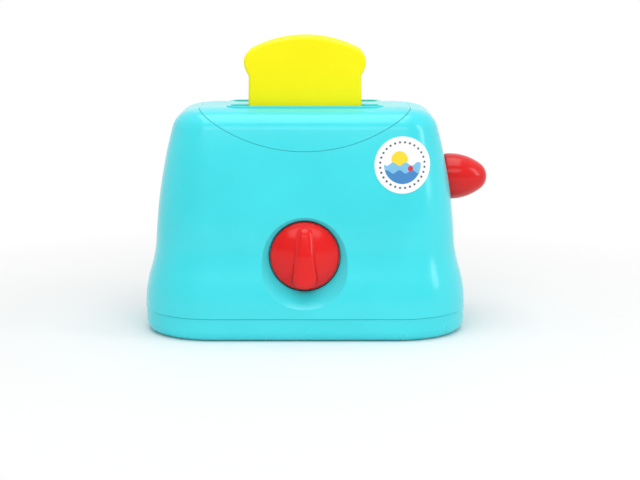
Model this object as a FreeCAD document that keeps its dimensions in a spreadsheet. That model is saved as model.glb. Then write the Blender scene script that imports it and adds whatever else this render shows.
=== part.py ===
import FreeCAD, Part
import math
import os
import Sketcher
from FreeCAD import Placement, Rotation, Vector

# Toy pop-up toaster with a wind-up dial, a side lever and two slices of play toast.
# Millimetres, +Z up, the front with the dial faces -Y, the lever is on the +X side.
# The origin is on the table under the middle of the body.

DOC = FreeCAD.newDocument("toy_toaster")
SHEET = DOC.addObject("Spreadsheet::Sheet", "Sizes")

SIZES = {
    # housing, outer form
    "body_width": 183.0,
    "body_depth": 112.0,
    "corner_radius": 40.0,
    "wall": 2.2,
    "pan_edge": 13.0,
    "seam_gap": 0.3,
    "band_top": 15.5,
    "flare_radius": 67.0,
    "hollow_radius": 67.0,
    "flare_angle": 18.0,
    "lean_low": 3.0,
    "lean_high": 15.2,
    "side_radius": 300.0,
    "shoulder_radius": 13.5,
    "crown_angle": 75.0,
    "crown_radius": 50.0,
    "crown_end": 87.0,
    # top cover
    "seam_radius": 91.0,
    "seam_drop": 22.7,
    "ledge_width": 3.5,
    "ledge_wall": 1.8,
    "ledge_gap": 0.1,
    "slot_length": 84.0,
    "slot_width": 11.0,
    "slot_pitch": 29.0,
    "rim_margin": 2.5,
    "rim_height": 0.7,
    "rim_corner": 8.0,
    "slot_flat": 0.5,
    "cover_post_radius": 2.8,
    "cover_post_gap": 1.2,
    "post_clearance": 0.4,
    "cover_post_drop": 7.0,
    # base pan and its feet
    "pan_floor": 2.2,
    "pan_inset": 0.4,
    "pan_round": 6.0,
    "pan_wall": 2.6,
    "boss_radius": 4.0,
    "boss_reach": 30.5,
    "web_reach": 35.5,
    "web_radius": 3.0,
    "boss_top": 28.0,
    "post_margin": 1.0,
    "rod_post_wall": 2.8,
    "rod_post_rise": 2.5,
    "foot_radius": 7.0,
    "foot_height": 1.2,
    "foot_edge": 0.4,
    "foot_inset_x": 31.0,
    "foot_inset_y": 22.0,
    "foot_peg_radius": 2.5,
    "foot_barb": 0.7,
    "foot_barb_tip": 0.6,
    "foot_barb_height": 1.8,
    # screws
    "screw_radius": 1.25,
    "screw_head_radius": 2.6,
    "screw_head_height": 1.6,
    "head_clearance": 0.3,
    "head_sink": 0.2,
    "base_screw_sink": 3.0,
    "screw_play": 0.05,
    # dial well, dish and knob
    "dial_height": 47.0,
    "well_radius": 20.0,
    "dish_depth": 9.9,
    "well_depth": 14.0,
    "well_plate": 3.6,
    "dish_angle": 40.7,
    "dial_radius": 19.3,
    "dial_rim": 4.6,
    "dial_edge": 2.2,
    "dial_dome": 9.8,
    "dial_play": 0.5,
    "ridge_top_radius": 4.4,
    "ridge_low_radius": 6.8,
    "ridge_top": 16.3,
    "ridge_bottom": 18.3,
    "ridge_height": 12.6,
    "ridge_round": 2.6,
    "arbor_radius": 2.5,
    "arbor_play": 0.15,
    "arbor_grip": 5.5,
    # wind-up timer behind the dial
    "case_width": 44.0,
    "case_height": 38.0,
    "case_depth": 10.0,
    "case_corner": 4.0,
    "case_screw_spread": 32.0,
    "cam_gap": 0.6,
    "cam_thickness": 3.0,
    "cam_high": 11.0,
    "cam_low": 7.0,
    "cam_step": 0.72,
    "cam_sweep": 270.0,
    # latch
    "latch_pivot_x": 42.0,
    "latch_pivot_z": 24.0,
    "latch_pin_radius": 1.5,
    "latch_arm_width": 5.0,
    "latch_toe": 3.0,
    "latch_pad": 3.5,
    "hook_height": 4.5,
    "latch_play": 0.3,
    "bracket_thickness": 2.0,
    "bracket_width": 14.0,
    "bracket_foot": 7.0,
    # carriage
    "carriage_travel": 42.0,
    "platform_rise": 6.6,
    "platform_length": 66.0,
    "platform_width": 8.4,
    "platform_thickness": 2.6,
    "rod_offset": 9.0,
    "rod_spread": 26.0,
    "rod_radius": 1.6,
    "rod_play": 0.15,
    "sleeve_wall": 2.0,
    "sleeve_height": 12.0,
    "bar_thickness": 4.0,
    "bar_height": 6.0,
    "neck_width": 5.0,
    "tooth_depth": 3.0,
    "tooth_drop": 1.3,
    "tooth_reach": 4.0,
    "tongue_width": 5.4,
    "tongue_height": 10.0,
    "root_length": 6.0,
    "socket_depth": 13.0,
    "spring_gap": 0.4,
    "spring_wire": 1.2,
    # lever knob and its track
    "lever_height": 85.7,
    "track_depth": 13.0,
    "track_width": 29.5,
    "track_margin": 2.5,
    "track_round": 3.0,
    "track_slot": 7.0,
    "track_play": 0.4,
    "lever_gap": 1.2,
    "lever_radius": 13.2,
    "lever_reach": 13.5,
    "lever_tip_radius": 9.0,
    "lever_flank_angle": 38.0,
    "lever_back_round": 2.2,
    # toast guide
    "guide_wall": 1.5,
    "guide_drop": 64.0,
    "guide_gap": 1.0,
    "ear_thickness": 6.0,
    "ear_margin": 2.4,
    "ear_side": 4.0,
    "left_ear_width": 12.0,
    # play toast
    "toast_thickness": 8.0,
    "toast_height": 74.0,
    "toast_ears": 68.7,
    "toast_waist": 63.3,
    "toast_foot": 64.8,
    "toast_ear_drop": 13.6,
    "toast_waist_drop": 22.5,
    "toast_foot_round": 6.0,
    "toast_ear_round": 7.0,
    "toast_neck_share": 0.2,
    "toast_edge": 1.6,
    "toast_seat": 0.2,
    # round label
    "label_radius": 15.5,
    "label_inset": 37.5,
    "label_z": 97.6,
    "label_thickness": 0.25,
}


class Size:
    """A length or an angle with its value and the sheet expression that gives it."""

    def __init__(self, value, text):
        self.value = value
        self.text = text

    def __add__(self, other):
        other = as_size(other)
        return Size(self.value + other.value, f"({self.text} + {other.text})")

    def __sub__(self, other):
        other = as_size(other)
        return Size(self.value - other.value, f"({self.text} - {other.text})")

    def __mul__(self, other):
        other = as_size(other)
        return Size(self.value * other.value, f"({self.text} * {other.text})")

    def __truediv__(self, other):
        other = as_size(other)
        return Size(self.value / other.value, f"({self.text} / {other.text})")

    def __neg__(self):
        return Size(-self.value, f"(-1 * {self.text})")

    def __radd__(self, other):
        return as_size(other) + self

    def __rsub__(self, other):
        return as_size(other) - self

    def __rmul__(self, other):
        return as_size(other) * self


def as_size(number):
    if isinstance(number, Size):
        return number
    return Size(float(number), f"({float(number)})" if number < 0 else f"{float(number)}")


def sin(angle):
    return Size(math.sin(math.radians(angle.value)), f"sin({angle.text})")


def cos(angle):
    return Size(math.cos(math.radians(angle.value)), f"cos({angle.text})")


def tan(angle):
    return Size(math.tan(math.radians(angle.value)), f"tan({angle.text})")


def sqrt(number):
    return Size(math.sqrt(number.value), f"sqrt({number.text})")


class Sizes:
    """Gives each cell of the sheet as a Size, by its alias."""

    def __getattr__(self, alias):
        return Size(float(SHEET.get(alias)), f"Sizes.{alias}")


S = Sizes()


def fill_sheet():
    for row, (alias, value) in enumerate(SIZES.items(), start=1):
        SHEET.set(f"A{row}", alias)
        SHEET.set(f"B{row}", str(value))
        SHEET.setAlias(f"B{row}", alias)
    DOC.recompute()


# Helpers: sketches


def new_body(name):
    return DOC.addObject("PartDesign::Body", name)


def new_sketch(body, name, role, height=None, side=None, up=None):
    """A sketch on one of the body's own planes, moved along and within that plane."""
    sketch = body.newObject("Sketcher::SketchObject", name)
    plane = next(f for f in body.Origin.OriginFeatures if f.Role == role)
    sketch.AttachmentSupport = [(plane, "")]
    sketch.MapMode = "FlatFace"
    for axis, size in (("x", side), ("y", up), ("z", height)):
        if size is not None:
            sketch.setExpression(f"AttachmentOffset.Base.{axis}", as_size(size).text)
    return sketch


def pin_point(sketch, item, end, x, y):
    """Ties one point of a sketch to its distances from the sketch's origin."""
    for kind, size in (("DistanceX", as_size(x)), ("DistanceY", as_size(y))):
        index = sketch.addConstraint(Sketcher.Constraint(kind, -1, 1, item, end, size.value))
        sketch.setExpression(f"Constraints[{index}]", size.text)


def add_circle(sketch, x, y, radius):
    x, y, radius = as_size(x), as_size(y), as_size(radius)
    circle = Part.Circle(Vector(x.value, y.value, 0), Vector(0, 0, 1), radius.value)
    item = sketch.addGeometry(circle, False)
    pin_point(sketch, item, 3, x, y)
    index = sketch.addConstraint(Sketcher.Constraint("Radius", item, radius.value))
    sketch.setExpression(f"Constraints[{index}]", radius.text)


def arc_between(start, end, radius, left):
    """The shorter arc from start to end, with its centre on the left or on the right."""
    chord = end - start
    middle = (start + end) * 0.5
    across = Vector(-chord.y, chord.x, 0).normalize()
    rise = math.sqrt(max(radius * radius - chord.Length * chord.Length / 4, 0.0))
    centre = middle + across * (rise if left else -rise)
    first, last = (start, end) if left else (end, start)
    angles = [math.atan2(p.y - centre.y, p.x - centre.x) for p in (first, last)]
    if angles[1] < angles[0]:
        angles[1] += 2 * math.pi
    circle = Part.Circle(centre, Vector(0, 0, 1), radius)
    return Part.ArcOfCircle(circle, angles[0], angles[1])


def add_outline(sketch, points, closed=True):
    """Lines and arcs through points (x, y) or (x, y, radius, "left" or "right").

    The radius belongs to the arc from that point to the next, and the side says
    on which side of the way its centre lies.
    """
    count = len(points)
    spots = [Vector(as_size(p[0]).value, as_size(p[1]).value, 0) for p in points]
    ends = []
    for i in range(count if closed else count - 1):
        start, end = spots[i], spots[(i + 1) % count]
        if len(points[i]) == 2:
            item = sketch.addGeometry(Part.LineSegment(start, end), False)
            ends.append((item, 1, 2))
            continue
        radius, left = as_size(points[i][2]), points[i][3] == "left"
        item = sketch.addGeometry(arc_between(start, end, radius.value, left), False)
        index = sketch.addConstraint(Sketcher.Constraint("Radius", item, radius.value))
        sketch.setExpression(f"Constraints[{index}]", radius.text)
        ends.append((item, 1, 2) if left else (item, 2, 1))
    for i, (item, first, last) in enumerate(ends):
        pin_point(sketch, item, first, points[i][0], points[i][1])
        if i + 1 < len(ends) or closed:
            following = ends[(i + 1) % len(ends)]
            sketch.addConstraint(
                Sketcher.Constraint("Coincident", item, last, following[0], following[1])
            )
        else:
            pin_point(sketch, item, last, points[i + 1][0], points[i + 1][1])


def add_rounded_box(sketch, half_x, half_y, radius):
    """A rounded rectangle about the origin that starts in the middle of its right side."""
    in_x, in_y = half_x - radius, half_y - radius
    add_outline(
        sketch,
        [
            (half_x, 0),
            (half_x, in_y, radius, "left"),
            (in_x, half_y),
            (-in_x, half_y, radius, "left"),
            (-half_x, in_y),
            (-half_x, -in_y, radius, "left"),
            (-in_x, -half_y),
            (in_x, -half_y, radius, "left"),
            (half_x, -in_y),
        ],
    )


def add_box(sketch, x0, x1, y0, y1):
    add_outline(sketch, [(x0, y0), (x1, y0), (x1, y1), (x0, y1)])


# Helpers: features


def pad(body, name, sketch, length, both_ways=False, backwards=False):
    feature = body.newObject("PartDesign::Pad", name)
    feature.Profile = sketch
    feature.setExpression("Length", as_size(length).text)
    if both_ways:
        feature.Midplane = True
    feature.Reversed = backwards
    return feature


def pocket(body, name, sketch, length, both_ways=False, backwards=False):
    feature = body.newObject("PartDesign::Pocket", name)
    feature.Profile = sketch
    feature.setExpression("Length", as_size(length).text)
    if both_ways:
        feature.Midplane = True
    feature.Reversed = backwards
    return feature


def revolve(body, name, sketch, axis):
    feature = body.newObject("PartDesign::Revolution", name)
    feature.Profile = sketch
    feature.ReferenceAxis = (sketch, [axis])
    feature.Angle = 360.0
    return feature


def fillet(body, name, base, radius, wanted):
    """Rounds the edges of the base for which wanted(edge) holds."""
    DOC.recompute()
    edges = base.Shape.Edges
    names = [f"Edge{i}" for i, edge in enumerate(edges, start=1) if wanted(edge)]
    feature = body.newObject("PartDesign::Fillet", name)
    feature.Base = (base, names)
    feature.setExpression("Radius", as_size(radius).text)
    return feature


def near(value, wanted, room=0.01):
    return abs(value - wanted) < room


# Helpers: simple solids and their sums and differences


def place(thing, x, y, z):
    for axis, size in (("x", x), ("y", y), ("z", z)):
        thing.setExpression(f"Placement.Base.{axis}", as_size(size).text)


def block(name, x0, x1, y0, y1, z0, z1):
    box = DOC.addObject("Part::Box", name)
    x0, x1, y0, y1, z0, z1 = [as_size(v) for v in (x0, x1, y0, y1, z0, z1)]
    box.setExpression("Length", (x1 - x0).text)
    box.setExpression("Width", (y1 - y0).text)
    box.setExpression("Height", (z1 - z0).text)
    place(box, x0, y0, z0)
    return box


TURNS = {
    "+z": Rotation(),
    "-z": Rotation(Vector(1, 0, 0), 180),
    "+x": Rotation(Vector(0, 1, 0), 90),
    "-y": Rotation(Vector(1, 0, 0), 90),
    "+y": Rotation(Vector(1, 0, 0), -90),
}


def cylinder(name, way, x, y, z, radius, length):
    """A cylinder from the point x, y, z along the given way."""
    rod = DOC.addObject("Part::Cylinder", name)
    rod.setExpression("Radius", as_size(radius).text)
    rod.setExpression("Height", as_size(length).text)
    rod.Placement = Placement(Vector(), TURNS[way])
    place(rod, x, y, z)
    return rod


def cone(name, way, x, y, z, radius, end_radius, length):
    """A cone from the point x, y, z along the given way."""
    form = DOC.addObject("Part::Cone", name)
    form.setExpression("Radius1", as_size(radius).text)
    form.setExpression("Radius2", as_size(end_radius).text)
    form.setExpression("Height", as_size(length).text)
    form.Placement = Placement(Vector(), TURNS[way])
    place(form, x, y, z)
    return form


def fuse(name, parts):
    feature = DOC.addObject("Part::MultiFuse", name)
    feature.Shapes = parts
    return feature


def common(name, parts):
    feature = DOC.addObject("Part::MultiCommon", name)
    feature.Shapes = parts
    return feature


def cut(name, base, tools):
    feature = DOC.addObject("Part::Cut", name)
    feature.Base = base
    feature.Tool = tools[0] if len(tools) == 1 else fuse(name + "_tools", tools)
    return feature


def group(name, parts):
    feature = DOC.addObject("Part::Compound", name)
    feature.Links = parts
    return feature


def screw(name, way, x, y, z, length):
    """A pan-head screw whose head seats at x, y, z and whose shank goes along the way."""
    back = {"+z": "-z", "-z": "+z", "-y": "+y", "+y": "-y"}[way]
    shank = cylinder(name + "_shank", way, x, y, z, S.screw_radius, length)
    head = cone(
        name + "_head", back, x, y, z, S.screw_head_radius, S.screw_head_radius * 0.8,
        S.screw_head_height,
    )
    return fuse(name, [shank, head])


# The outer form: a bell-shaped side swept round a rounded rectangle


def bell_points(inward):
    """The side from the band to the crown as (x, z, radius, side), inward of the surface."""
    f, low, high, top, end = (
        S.flare_angle, S.lean_low, S.lean_high, S.crown_angle, S.crown_end,
    )
    inset, z = as_size(0), S.band_top
    steps = [
        (as_size(0), S.flare_radius, "left"),
        (f, S.hollow_radius, "right"),
        (low, S.side_radius, "left"),
        (high, S.shoulder_radius, "left"),
        (top, S.crown_radius, "left"),
        (end, None, None),
    ]
    points = []
    for i, (angle, radius, side) in enumerate(steps):
        x = S.body_width / 2 - inset - inward * cos(angle)
        height = z - inward * sin(angle)
        if radius is None:
            points.append((x, height))
            break
        following = steps[i + 1][0]
        sign = 1 if side == "left" else -1
        points.append((x, height, radius - inward * sign, side))
        inset = inset + radius * (cos(angle) - cos(following)) * sign
        z = z + radius * (sin(following) - sin(angle)) * sign
    return points


def top_height(inward=0):
    return bell_points(as_size(inward))[-1][1]


def bell_form(name, inward, bottom):
    """The toaster's outer form, or the same form set inward by an even distance."""
    inward = as_size(inward)
    points = bell_points(inward)
    top = points[-1][1]
    body = new_body(name)
    plan = new_sketch(body, name + "_block_plan", "XY_Plane", height=bottom)
    spare = as_size(4)
    half_x, half_y = S.body_width / 2 + spare, S.body_depth / 2 + spare
    add_rounded_box(plan, half_x, half_y, S.corner_radius + spare)
    pad(body, name + "_block", plan, top - bottom)
    path = new_sketch(body, name + "_path", "XY_Plane")
    add_rounded_box(path, S.body_width / 2, S.body_depth / 2, S.corner_radius)
    side = new_sketch(body, name + "_side", "XZ_Plane")
    outside = S.body_width / 2 + spare * 3
    outline = [(S.body_width / 2 - inward, bottom - 1)]
    outline += points
    outline += [(points[-1][0], top + 1), (outside, top + 1), (outside, bottom - 1)]
    add_outline(side, outline)
    sweep = body.newObject("PartDesign::SubtractivePipe", name + "_sweep")
    sweep.Profile = side
    sweep.Spine = (path, [])
    body.Tip = sweep
    return body


# Heights and places that several pieces share


def shell_bottom():
    return S.pan_edge + S.seam_gap


def seam_height():
    """The height of the middle of the circle that the cover's seam follows."""
    return top_height() - S.seam_drop + S.seam_radius


def seam_disc(name, spare):
    """A round bar along Y that holds all inside the cover's seam, grown by the spare."""
    reach = S.body_depth / 2 + 10
    return cylinder(
        name, "-y", 0, reach, seam_height(), S.seam_radius + spare, reach * 2
    )


def corner_spots(reach):
    """Four spots on the diagonals of the rounded corners, that far from their centres."""
    out = reach / sqrt(as_size(2))
    x = S.body_width / 2 - S.corner_radius + out
    y = S.body_depth / 2 - S.corner_radius + out
    return [(-x, -y), (x, -y), (x, y), (-x, y)]


def boss_spots():
    return corner_spots(S.boss_reach)


def slot_rows():
    return {"front": -S.slot_pitch / 2, "rear": S.slot_pitch / 2}


def rod_rows():
    return {"front": -S.rod_spread / 2, "rear": S.rod_spread / 2}


def tongue_ends():
    """Lowest and highest point of the lever's tongue over its whole travel."""
    low = S.lever_height - S.tongue_height / 2 - S.carriage_travel
    high = S.lever_height + S.tongue_height / 2
    return low, high


def well_lip():
    """How far in front of the middle the cone of the dish ends and the well begins."""
    return S.body_depth / 2 - S.dish_depth


def well_floor():
    return S.body_depth / 2 - S.well_depth


def track_floor():
    return S.body_width / 2 - S.track_depth


def track_bottom():
    """The track ends a little below the knob's lowest place."""
    return S.lever_height - S.carriage_travel - S.lever_radius - S.track_margin


def lever_tip():
    return S.body_width / 2 + S.lever_reach


def rod_x():
    return S.slot_length / 2 + S.rod_offset


def platform_top():
    """The slices' platforms are one piece with the lever's arm, so they follow it."""
    return S.lever_height + S.platform_rise


def tooth_top():
    return platform_top() - S.tooth_drop


def label_x():
    return S.body_width / 2 - S.label_inset


def case_back():
    return well_floor() - S.well_plate - S.case_depth


# Housing


def make_ledge(outer, low):
    """A strip behind the seam: it grows out of the shell and the cover lies on it."""
    root = bell_form("ledge_root_form", S.wall / 2, low)
    face = bell_form("ledge_face_form", S.wall + S.ledge_gap, low)
    back = bell_form("ledge_back_form", S.wall + S.ledge_wall, low - 1)
    ledge_shell = cut("ledge_shell", root, [back])
    ledge_ring = cut(
        "ledge_ring",
        seam_disc("ledge_limit", S.ledge_width),
        [seam_disc("ledge_opening", -S.ledge_width)],
    )
    ledge = common("ledge_strip", [ledge_shell, ledge_ring])
    cover_room = common(
        "cover_room",
        [cut("over_face", outer, [face]), seam_disc("cover_room_disc", S.seam_gap / 2)],
    )
    post_rooms = [
        cylinder(f"post_room_{i}", "-z", x, 0, top_height(), S.cover_post_radius + S.post_clearance,
                 S.cover_post_drop + 2)
        for i, x in enumerate(cover_post_spots(), start=1)
    ]
    return cut("ledge", ledge, [cover_room] + post_rooms)


def make_body_shell(outer, inner):
    z0 = shell_bottom()
    skin = cut("skin", outer, [inner])
    lower_skin = cut("lower_skin", skin, [seam_disc("seam_edge", S.seam_gap / 2)])
    ledge = make_ledge(outer, seam_height() - S.seam_radius - S.ledge_width - 5)
    bosses = [
        cylinder(f"boss_{i}", "+z", x, y, z0, S.boss_radius, S.boss_top - z0)
        for i, (x, y) in enumerate(boss_spots(), start=1)
    ]
    bosses += [
        cylinder(f"boss_web_{i}", "+z", x, y, z0, S.web_radius, S.boss_top - z0)
        for i, (x, y) in enumerate(corner_spots(S.web_reach), start=1)
    ]
    dish_run = S.body_depth / 2 - well_lip()
    slope = tan(S.dish_angle)
    backing = S.wall / cos(S.dish_angle)
    dish_body = cone(
        "dish_body", "-y", 0, -well_lip(), S.dial_height, S.well_radius + backing,
        S.well_radius + backing + dish_run * slope, dish_run,
    )
    well_body = cylinder(
        "well_body", "-y", 0, -(well_floor() - S.well_plate), S.dial_height,
        S.well_radius + S.wall, S.body_depth / 2 - well_floor() + S.well_plate,
    )
    track_low, track_high = tongue_ends()
    track_body = block(
        "track_body", track_floor() - S.wall, S.body_width / 2,
        -S.track_width / 2 - S.wall, S.track_width / 2 + S.wall,
        track_bottom() - S.wall, track_high + S.wall * 5,
    )
    thick = fuse("thickenings", bosses + [dish_body, well_body, track_body])
    inside = common("inside_parts", [thick, outer])
    whole = fuse("whole_shell", [lower_skin, ledge, inside])
    dish = cone(
        "dish", "-y", 0, -well_lip(), S.dial_height, S.well_radius,
        S.well_radius + (dish_run + 1) * slope, dish_run + 1,
    )
    well = cylinder(
        "well", "-y", 0, -well_floor(), S.dial_height, S.well_radius,
        S.body_depth / 2 - well_floor() + 1,
    )
    arbor_hole = cylinder(
        "arbor_hole", "-y", 0, -(well_floor() - S.well_plate - 1), S.dial_height,
        S.arbor_radius + S.arbor_play, S.well_plate + 2,
    )
    track = make_track()
    slot = block(
        "track_slot_cut", track_floor() - S.wall - 1, track_floor() + 1,
        -S.track_slot / 2, S.track_slot / 2,
        track_low - S.track_play, track_high + S.track_play,
    )
    pilots = [
        cylinder(f"boss_hole_{i}", "+z", x, y, z0 - 1, S.screw_radius + S.screw_play,
                 S.boss_top - z0 - 2)
        for i, (x, y) in enumerate(boss_spots(), start=1)
    ]
    case_holes = [
        cylinder(f"case_hole_{i}", "-y", x, -(well_floor() - S.well_plate - 1),
                 S.dial_height, S.screw_radius + S.screw_play, S.well_plate + 2)
        for i, x in enumerate(case_screw_spots(), start=1)
    ]
    case_holes += [
        cylinder(f"case_head_hole_{i}", "-y", x, -(well_floor() - screw_sink()),
                 S.dial_height, S.screw_head_radius + S.head_clearance, screw_sink() + 1)
        for i, x in enumerate(case_screw_spots(), start=1)
    ]
    holes = [dish, well, arbor_hole, track, slot] + pilots + case_holes
    return cut("body_shell", whole, holes)


def screw_sink():
    """How deep a screw's head lies below the face that it is sunk in."""
    return S.screw_head_height + S.head_sink


def case_screw_spots():
    return [-S.case_screw_spread / 2, S.case_screw_spread / 2]


def make_track():
    """The upright channel that the lever's knob runs in, with a rounded foot."""
    body = new_body("track")
    sketch = new_sketch(body, "track_plan", "YZ_Plane", height=track_floor())
    half = S.track_width / 2
    top = top_height() + 5
    add_outline(
        sketch,
        [
            (-half + S.track_round, track_bottom()),
            (half - S.track_round, track_bottom(), S.track_round, "left"),
            (half, track_bottom() + S.track_round),
            (half, top),
            (-half, top),
            (-half, track_bottom() + S.track_round, S.track_round, "left"),
        ],
    )
    body.Tip = pad(body, "track_pad", sketch, S.body_width / 2)
    return body


def make_top_cover(outer, inner):
    skin = DOC.getObject("skin")
    half_x = S.slot_length / 2 + S.rim_margin
    half_y = S.slot_pitch / 2 + S.slot_width / 2 + S.rim_margin
    rim_body = new_body("rim")
    bottom = top_height() - S.wall * 2
    rim_plan = new_sketch(rim_body, "rim_plan", "XY_Plane", height=bottom)
    add_rounded_box(rim_plan, half_x, half_y, S.rim_corner)
    rise = top_height() + S.rim_height - bottom
    rim_pad = pad(rim_body, "rim_pad", rim_plan, rise)
    top = top_height() + S.rim_height
    rim_body.Tip = fillet(
        rim_body, "rim_round", rim_pad, S.rim_height / 2,
        lambda e: near(e.BoundBox.ZMin, top.value) and near(e.BoundBox.ZMax, top.value),
    )
    cover_skin = common("cover_skin", [skin, seam_disc("cover_edge", -S.seam_gap / 2)])
    rim = cut("rim_ring", rim_body, [inner])
    posts = [
        cylinder(f"cover_post_{i}", "-z", x, 0, top_height() - S.wall / 2,
                 S.cover_post_radius, S.cover_post_drop - S.wall / 2)
        for i, x in enumerate(cover_post_spots(), start=1)
    ]
    whole = fuse("whole_cover", [cover_skin, rim] + posts)
    slots = []
    for row, y in slot_rows().items():
        slots.append(make_slot(row, y, bottom - 1, top + 1 - bottom + 1))
    pilots = [
        cylinder(f"cover_post_hole_{i}", "-z", x, 0, top_height() - S.wall,
                 S.screw_radius + S.screw_play, S.cover_post_drop)
        for i, x in enumerate(cover_post_spots(), start=1)
    ]
    return cut("top_cover", whole, slots + pilots)


def cover_post_spots():
    x = S.slot_length / 2 + S.guide_wall + S.cover_post_radius + S.cover_post_gap
    return [-x, x]


def make_slot(row, y, bottom, height):
    body = new_body(f"slot_{row}")
    plan = new_sketch(body, f"slot_{row}_plan", "XY_Plane", height=bottom, up=y)
    add_rounded_box(plan, S.slot_length / 2, S.slot_width / 2, S.slot_width / 2 - S.slot_flat)
    body.Tip = pad(body, f"slot_{row}_pad", plan, height)
    return body


def make_base_pan():
    body = new_body("pan_dish")
    half_x = S.body_width / 2 - S.pan_inset
    half_y = S.body_depth / 2 - S.pan_inset
    radius = S.corner_radius - S.pan_inset
    plan = new_sketch(body, "pan_plan", "XY_Plane")
    add_rounded_box(plan, half_x, half_y, radius)
    solid = pad(body, "pan_pad", plan, S.pan_edge)
    rounded = fillet(
        body, "pan_rounding", solid, S.pan_round,
        lambda e: near(e.BoundBox.ZMin, 0) and near(e.BoundBox.ZMax, 0),
    )
    hollow = new_sketch(body, "pan_hollow_plan", "XY_Plane", height=S.pan_floor)
    add_rounded_box(
        hollow, half_x - S.pan_wall, half_y - S.pan_wall, radius - S.pan_wall
    )
    body.Tip = pocket(
        body, "pan_hollow", hollow, S.pan_edge - S.pan_floor + 1, backwards=True
    )
    floor = S.pan_floor / 2
    posts = [
        cylinder(f"pan_post_{i}", "+z", x, y, floor, S.boss_radius + S.post_margin,
                 S.pan_edge - floor)
        for i, (x, y) in enumerate(boss_spots(), start=1)
    ]
    posts += [
        cylinder(f"rod_post_{row}", "+z", rod_x(), y, floor, S.rod_radius + S.rod_post_wall,
                 rod_seat() - floor)
        for row, y in rod_rows().items()
    ]
    kept = new_body("pan_outline")
    kept_plan = new_sketch(kept, "pan_outline_plan", "XY_Plane")
    add_rounded_box(kept_plan, half_x - 1, half_y - 1, radius - 1)
    kept.Tip = pad(kept, "pan_outline_pad", kept_plan, rod_seat())
    inside_posts = common("inside_posts", [fuse("pan_posts", posts), kept])
    whole = fuse("whole_pan", [body, inside_posts])
    holes = []
    for i, (x, y) in enumerate(boss_spots(), start=1):
        holes.append(
            cylinder(f"pan_hole_{i}", "+z", x, y, -1, S.screw_radius + S.screw_play,
                     S.pan_edge + 2)
        )
        holes.append(
            cylinder(f"pan_head_hole_{i}", "+z", x, y, -1, S.screw_head_radius + S.head_clearance,
                     base_screw_seat() + 1)
        )
    for row, y in rod_rows().items():
        holes.append(
            cylinder(f"rod_hole_{row}", "+z", rod_x(), y, S.pan_floor,
                     S.rod_radius + S.screw_play, rod_seat())
        )
    for i, (x, y) in enumerate(foot_spots(), start=1):
        holes.append(
            cylinder(f"foot_hole_{i}", "+z", x, y, -1, S.foot_peg_radius + S.screw_play,
                     S.pan_floor + 2)
        )
        holes.append(
            cylinder(f"foot_recess_{i}", "+z", x, y, -1, S.foot_radius + S.screw_play,
                     S.foot_height + 1)
        )
    return cut("base_pan", whole, holes)


def base_screw_seat():
    """How far up in their posts the heads of the base screws seat."""
    return S.screw_head_height + S.base_screw_sink


def rod_seat():
    """The height at which the lift springs stand on their posts."""
    return S.pan_edge + S.rod_post_rise


def foot_spots():
    x = S.body_width / 2 - S.foot_inset_x
    y = S.body_depth / 2 - S.foot_inset_y
    return [(-x, -y), (x, -y), (x, y), (-x, y)]


def make_foot(number, x, y):
    """A rubber foot: a pad let in flush under the pan, with a peg through its floor."""
    body = new_body(f"foot_{number}")
    place(body, x, y, 0)
    sketch = new_sketch(body, f"foot_{number}_half", "XZ_Plane")
    lip = S.pan_floor
    edge = S.foot_edge
    add_outline(
        sketch,
        [
            (0, 0),
            (S.foot_radius - edge, 0, edge, "left"),
            (S.foot_radius, edge),
            (S.foot_radius, S.foot_height),
            (S.foot_peg_radius, S.foot_height),
            (S.foot_peg_radius, lip),
            (S.foot_peg_radius + S.foot_barb, lip),
            (S.foot_peg_radius - S.foot_barb_tip, lip + S.foot_barb_height),
            (0, lip + S.foot_barb_height),
        ],
    )
    body.Tip = revolve(body, f"foot_{number}_turn", sketch, "V_Axis")
    return body


def make_base_screws():
    head = base_screw_seat()
    length = S.boss_top - 6 - head
    return group(
        "base_screws",
        [
            screw(f"base_screw_{i}", "+z", x, y, head, length)
            for i, (x, y) in enumerate(boss_spots(), start=1)
        ],
    )


def make_round_label(outer):
    over = bell_form("label_form", -S.label_thickness, shell_bottom())
    disc = cylinder(
        "label_disc", "-y", label_x(), 0, S.label_z, S.label_radius, S.body_depth / 2
    )
    return cut("round_label", common("label_piece", [over, disc]), [outer])


# Toast guide under the cover


def guide_top():
    return top_height() - S.wall - S.guide_gap


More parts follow.
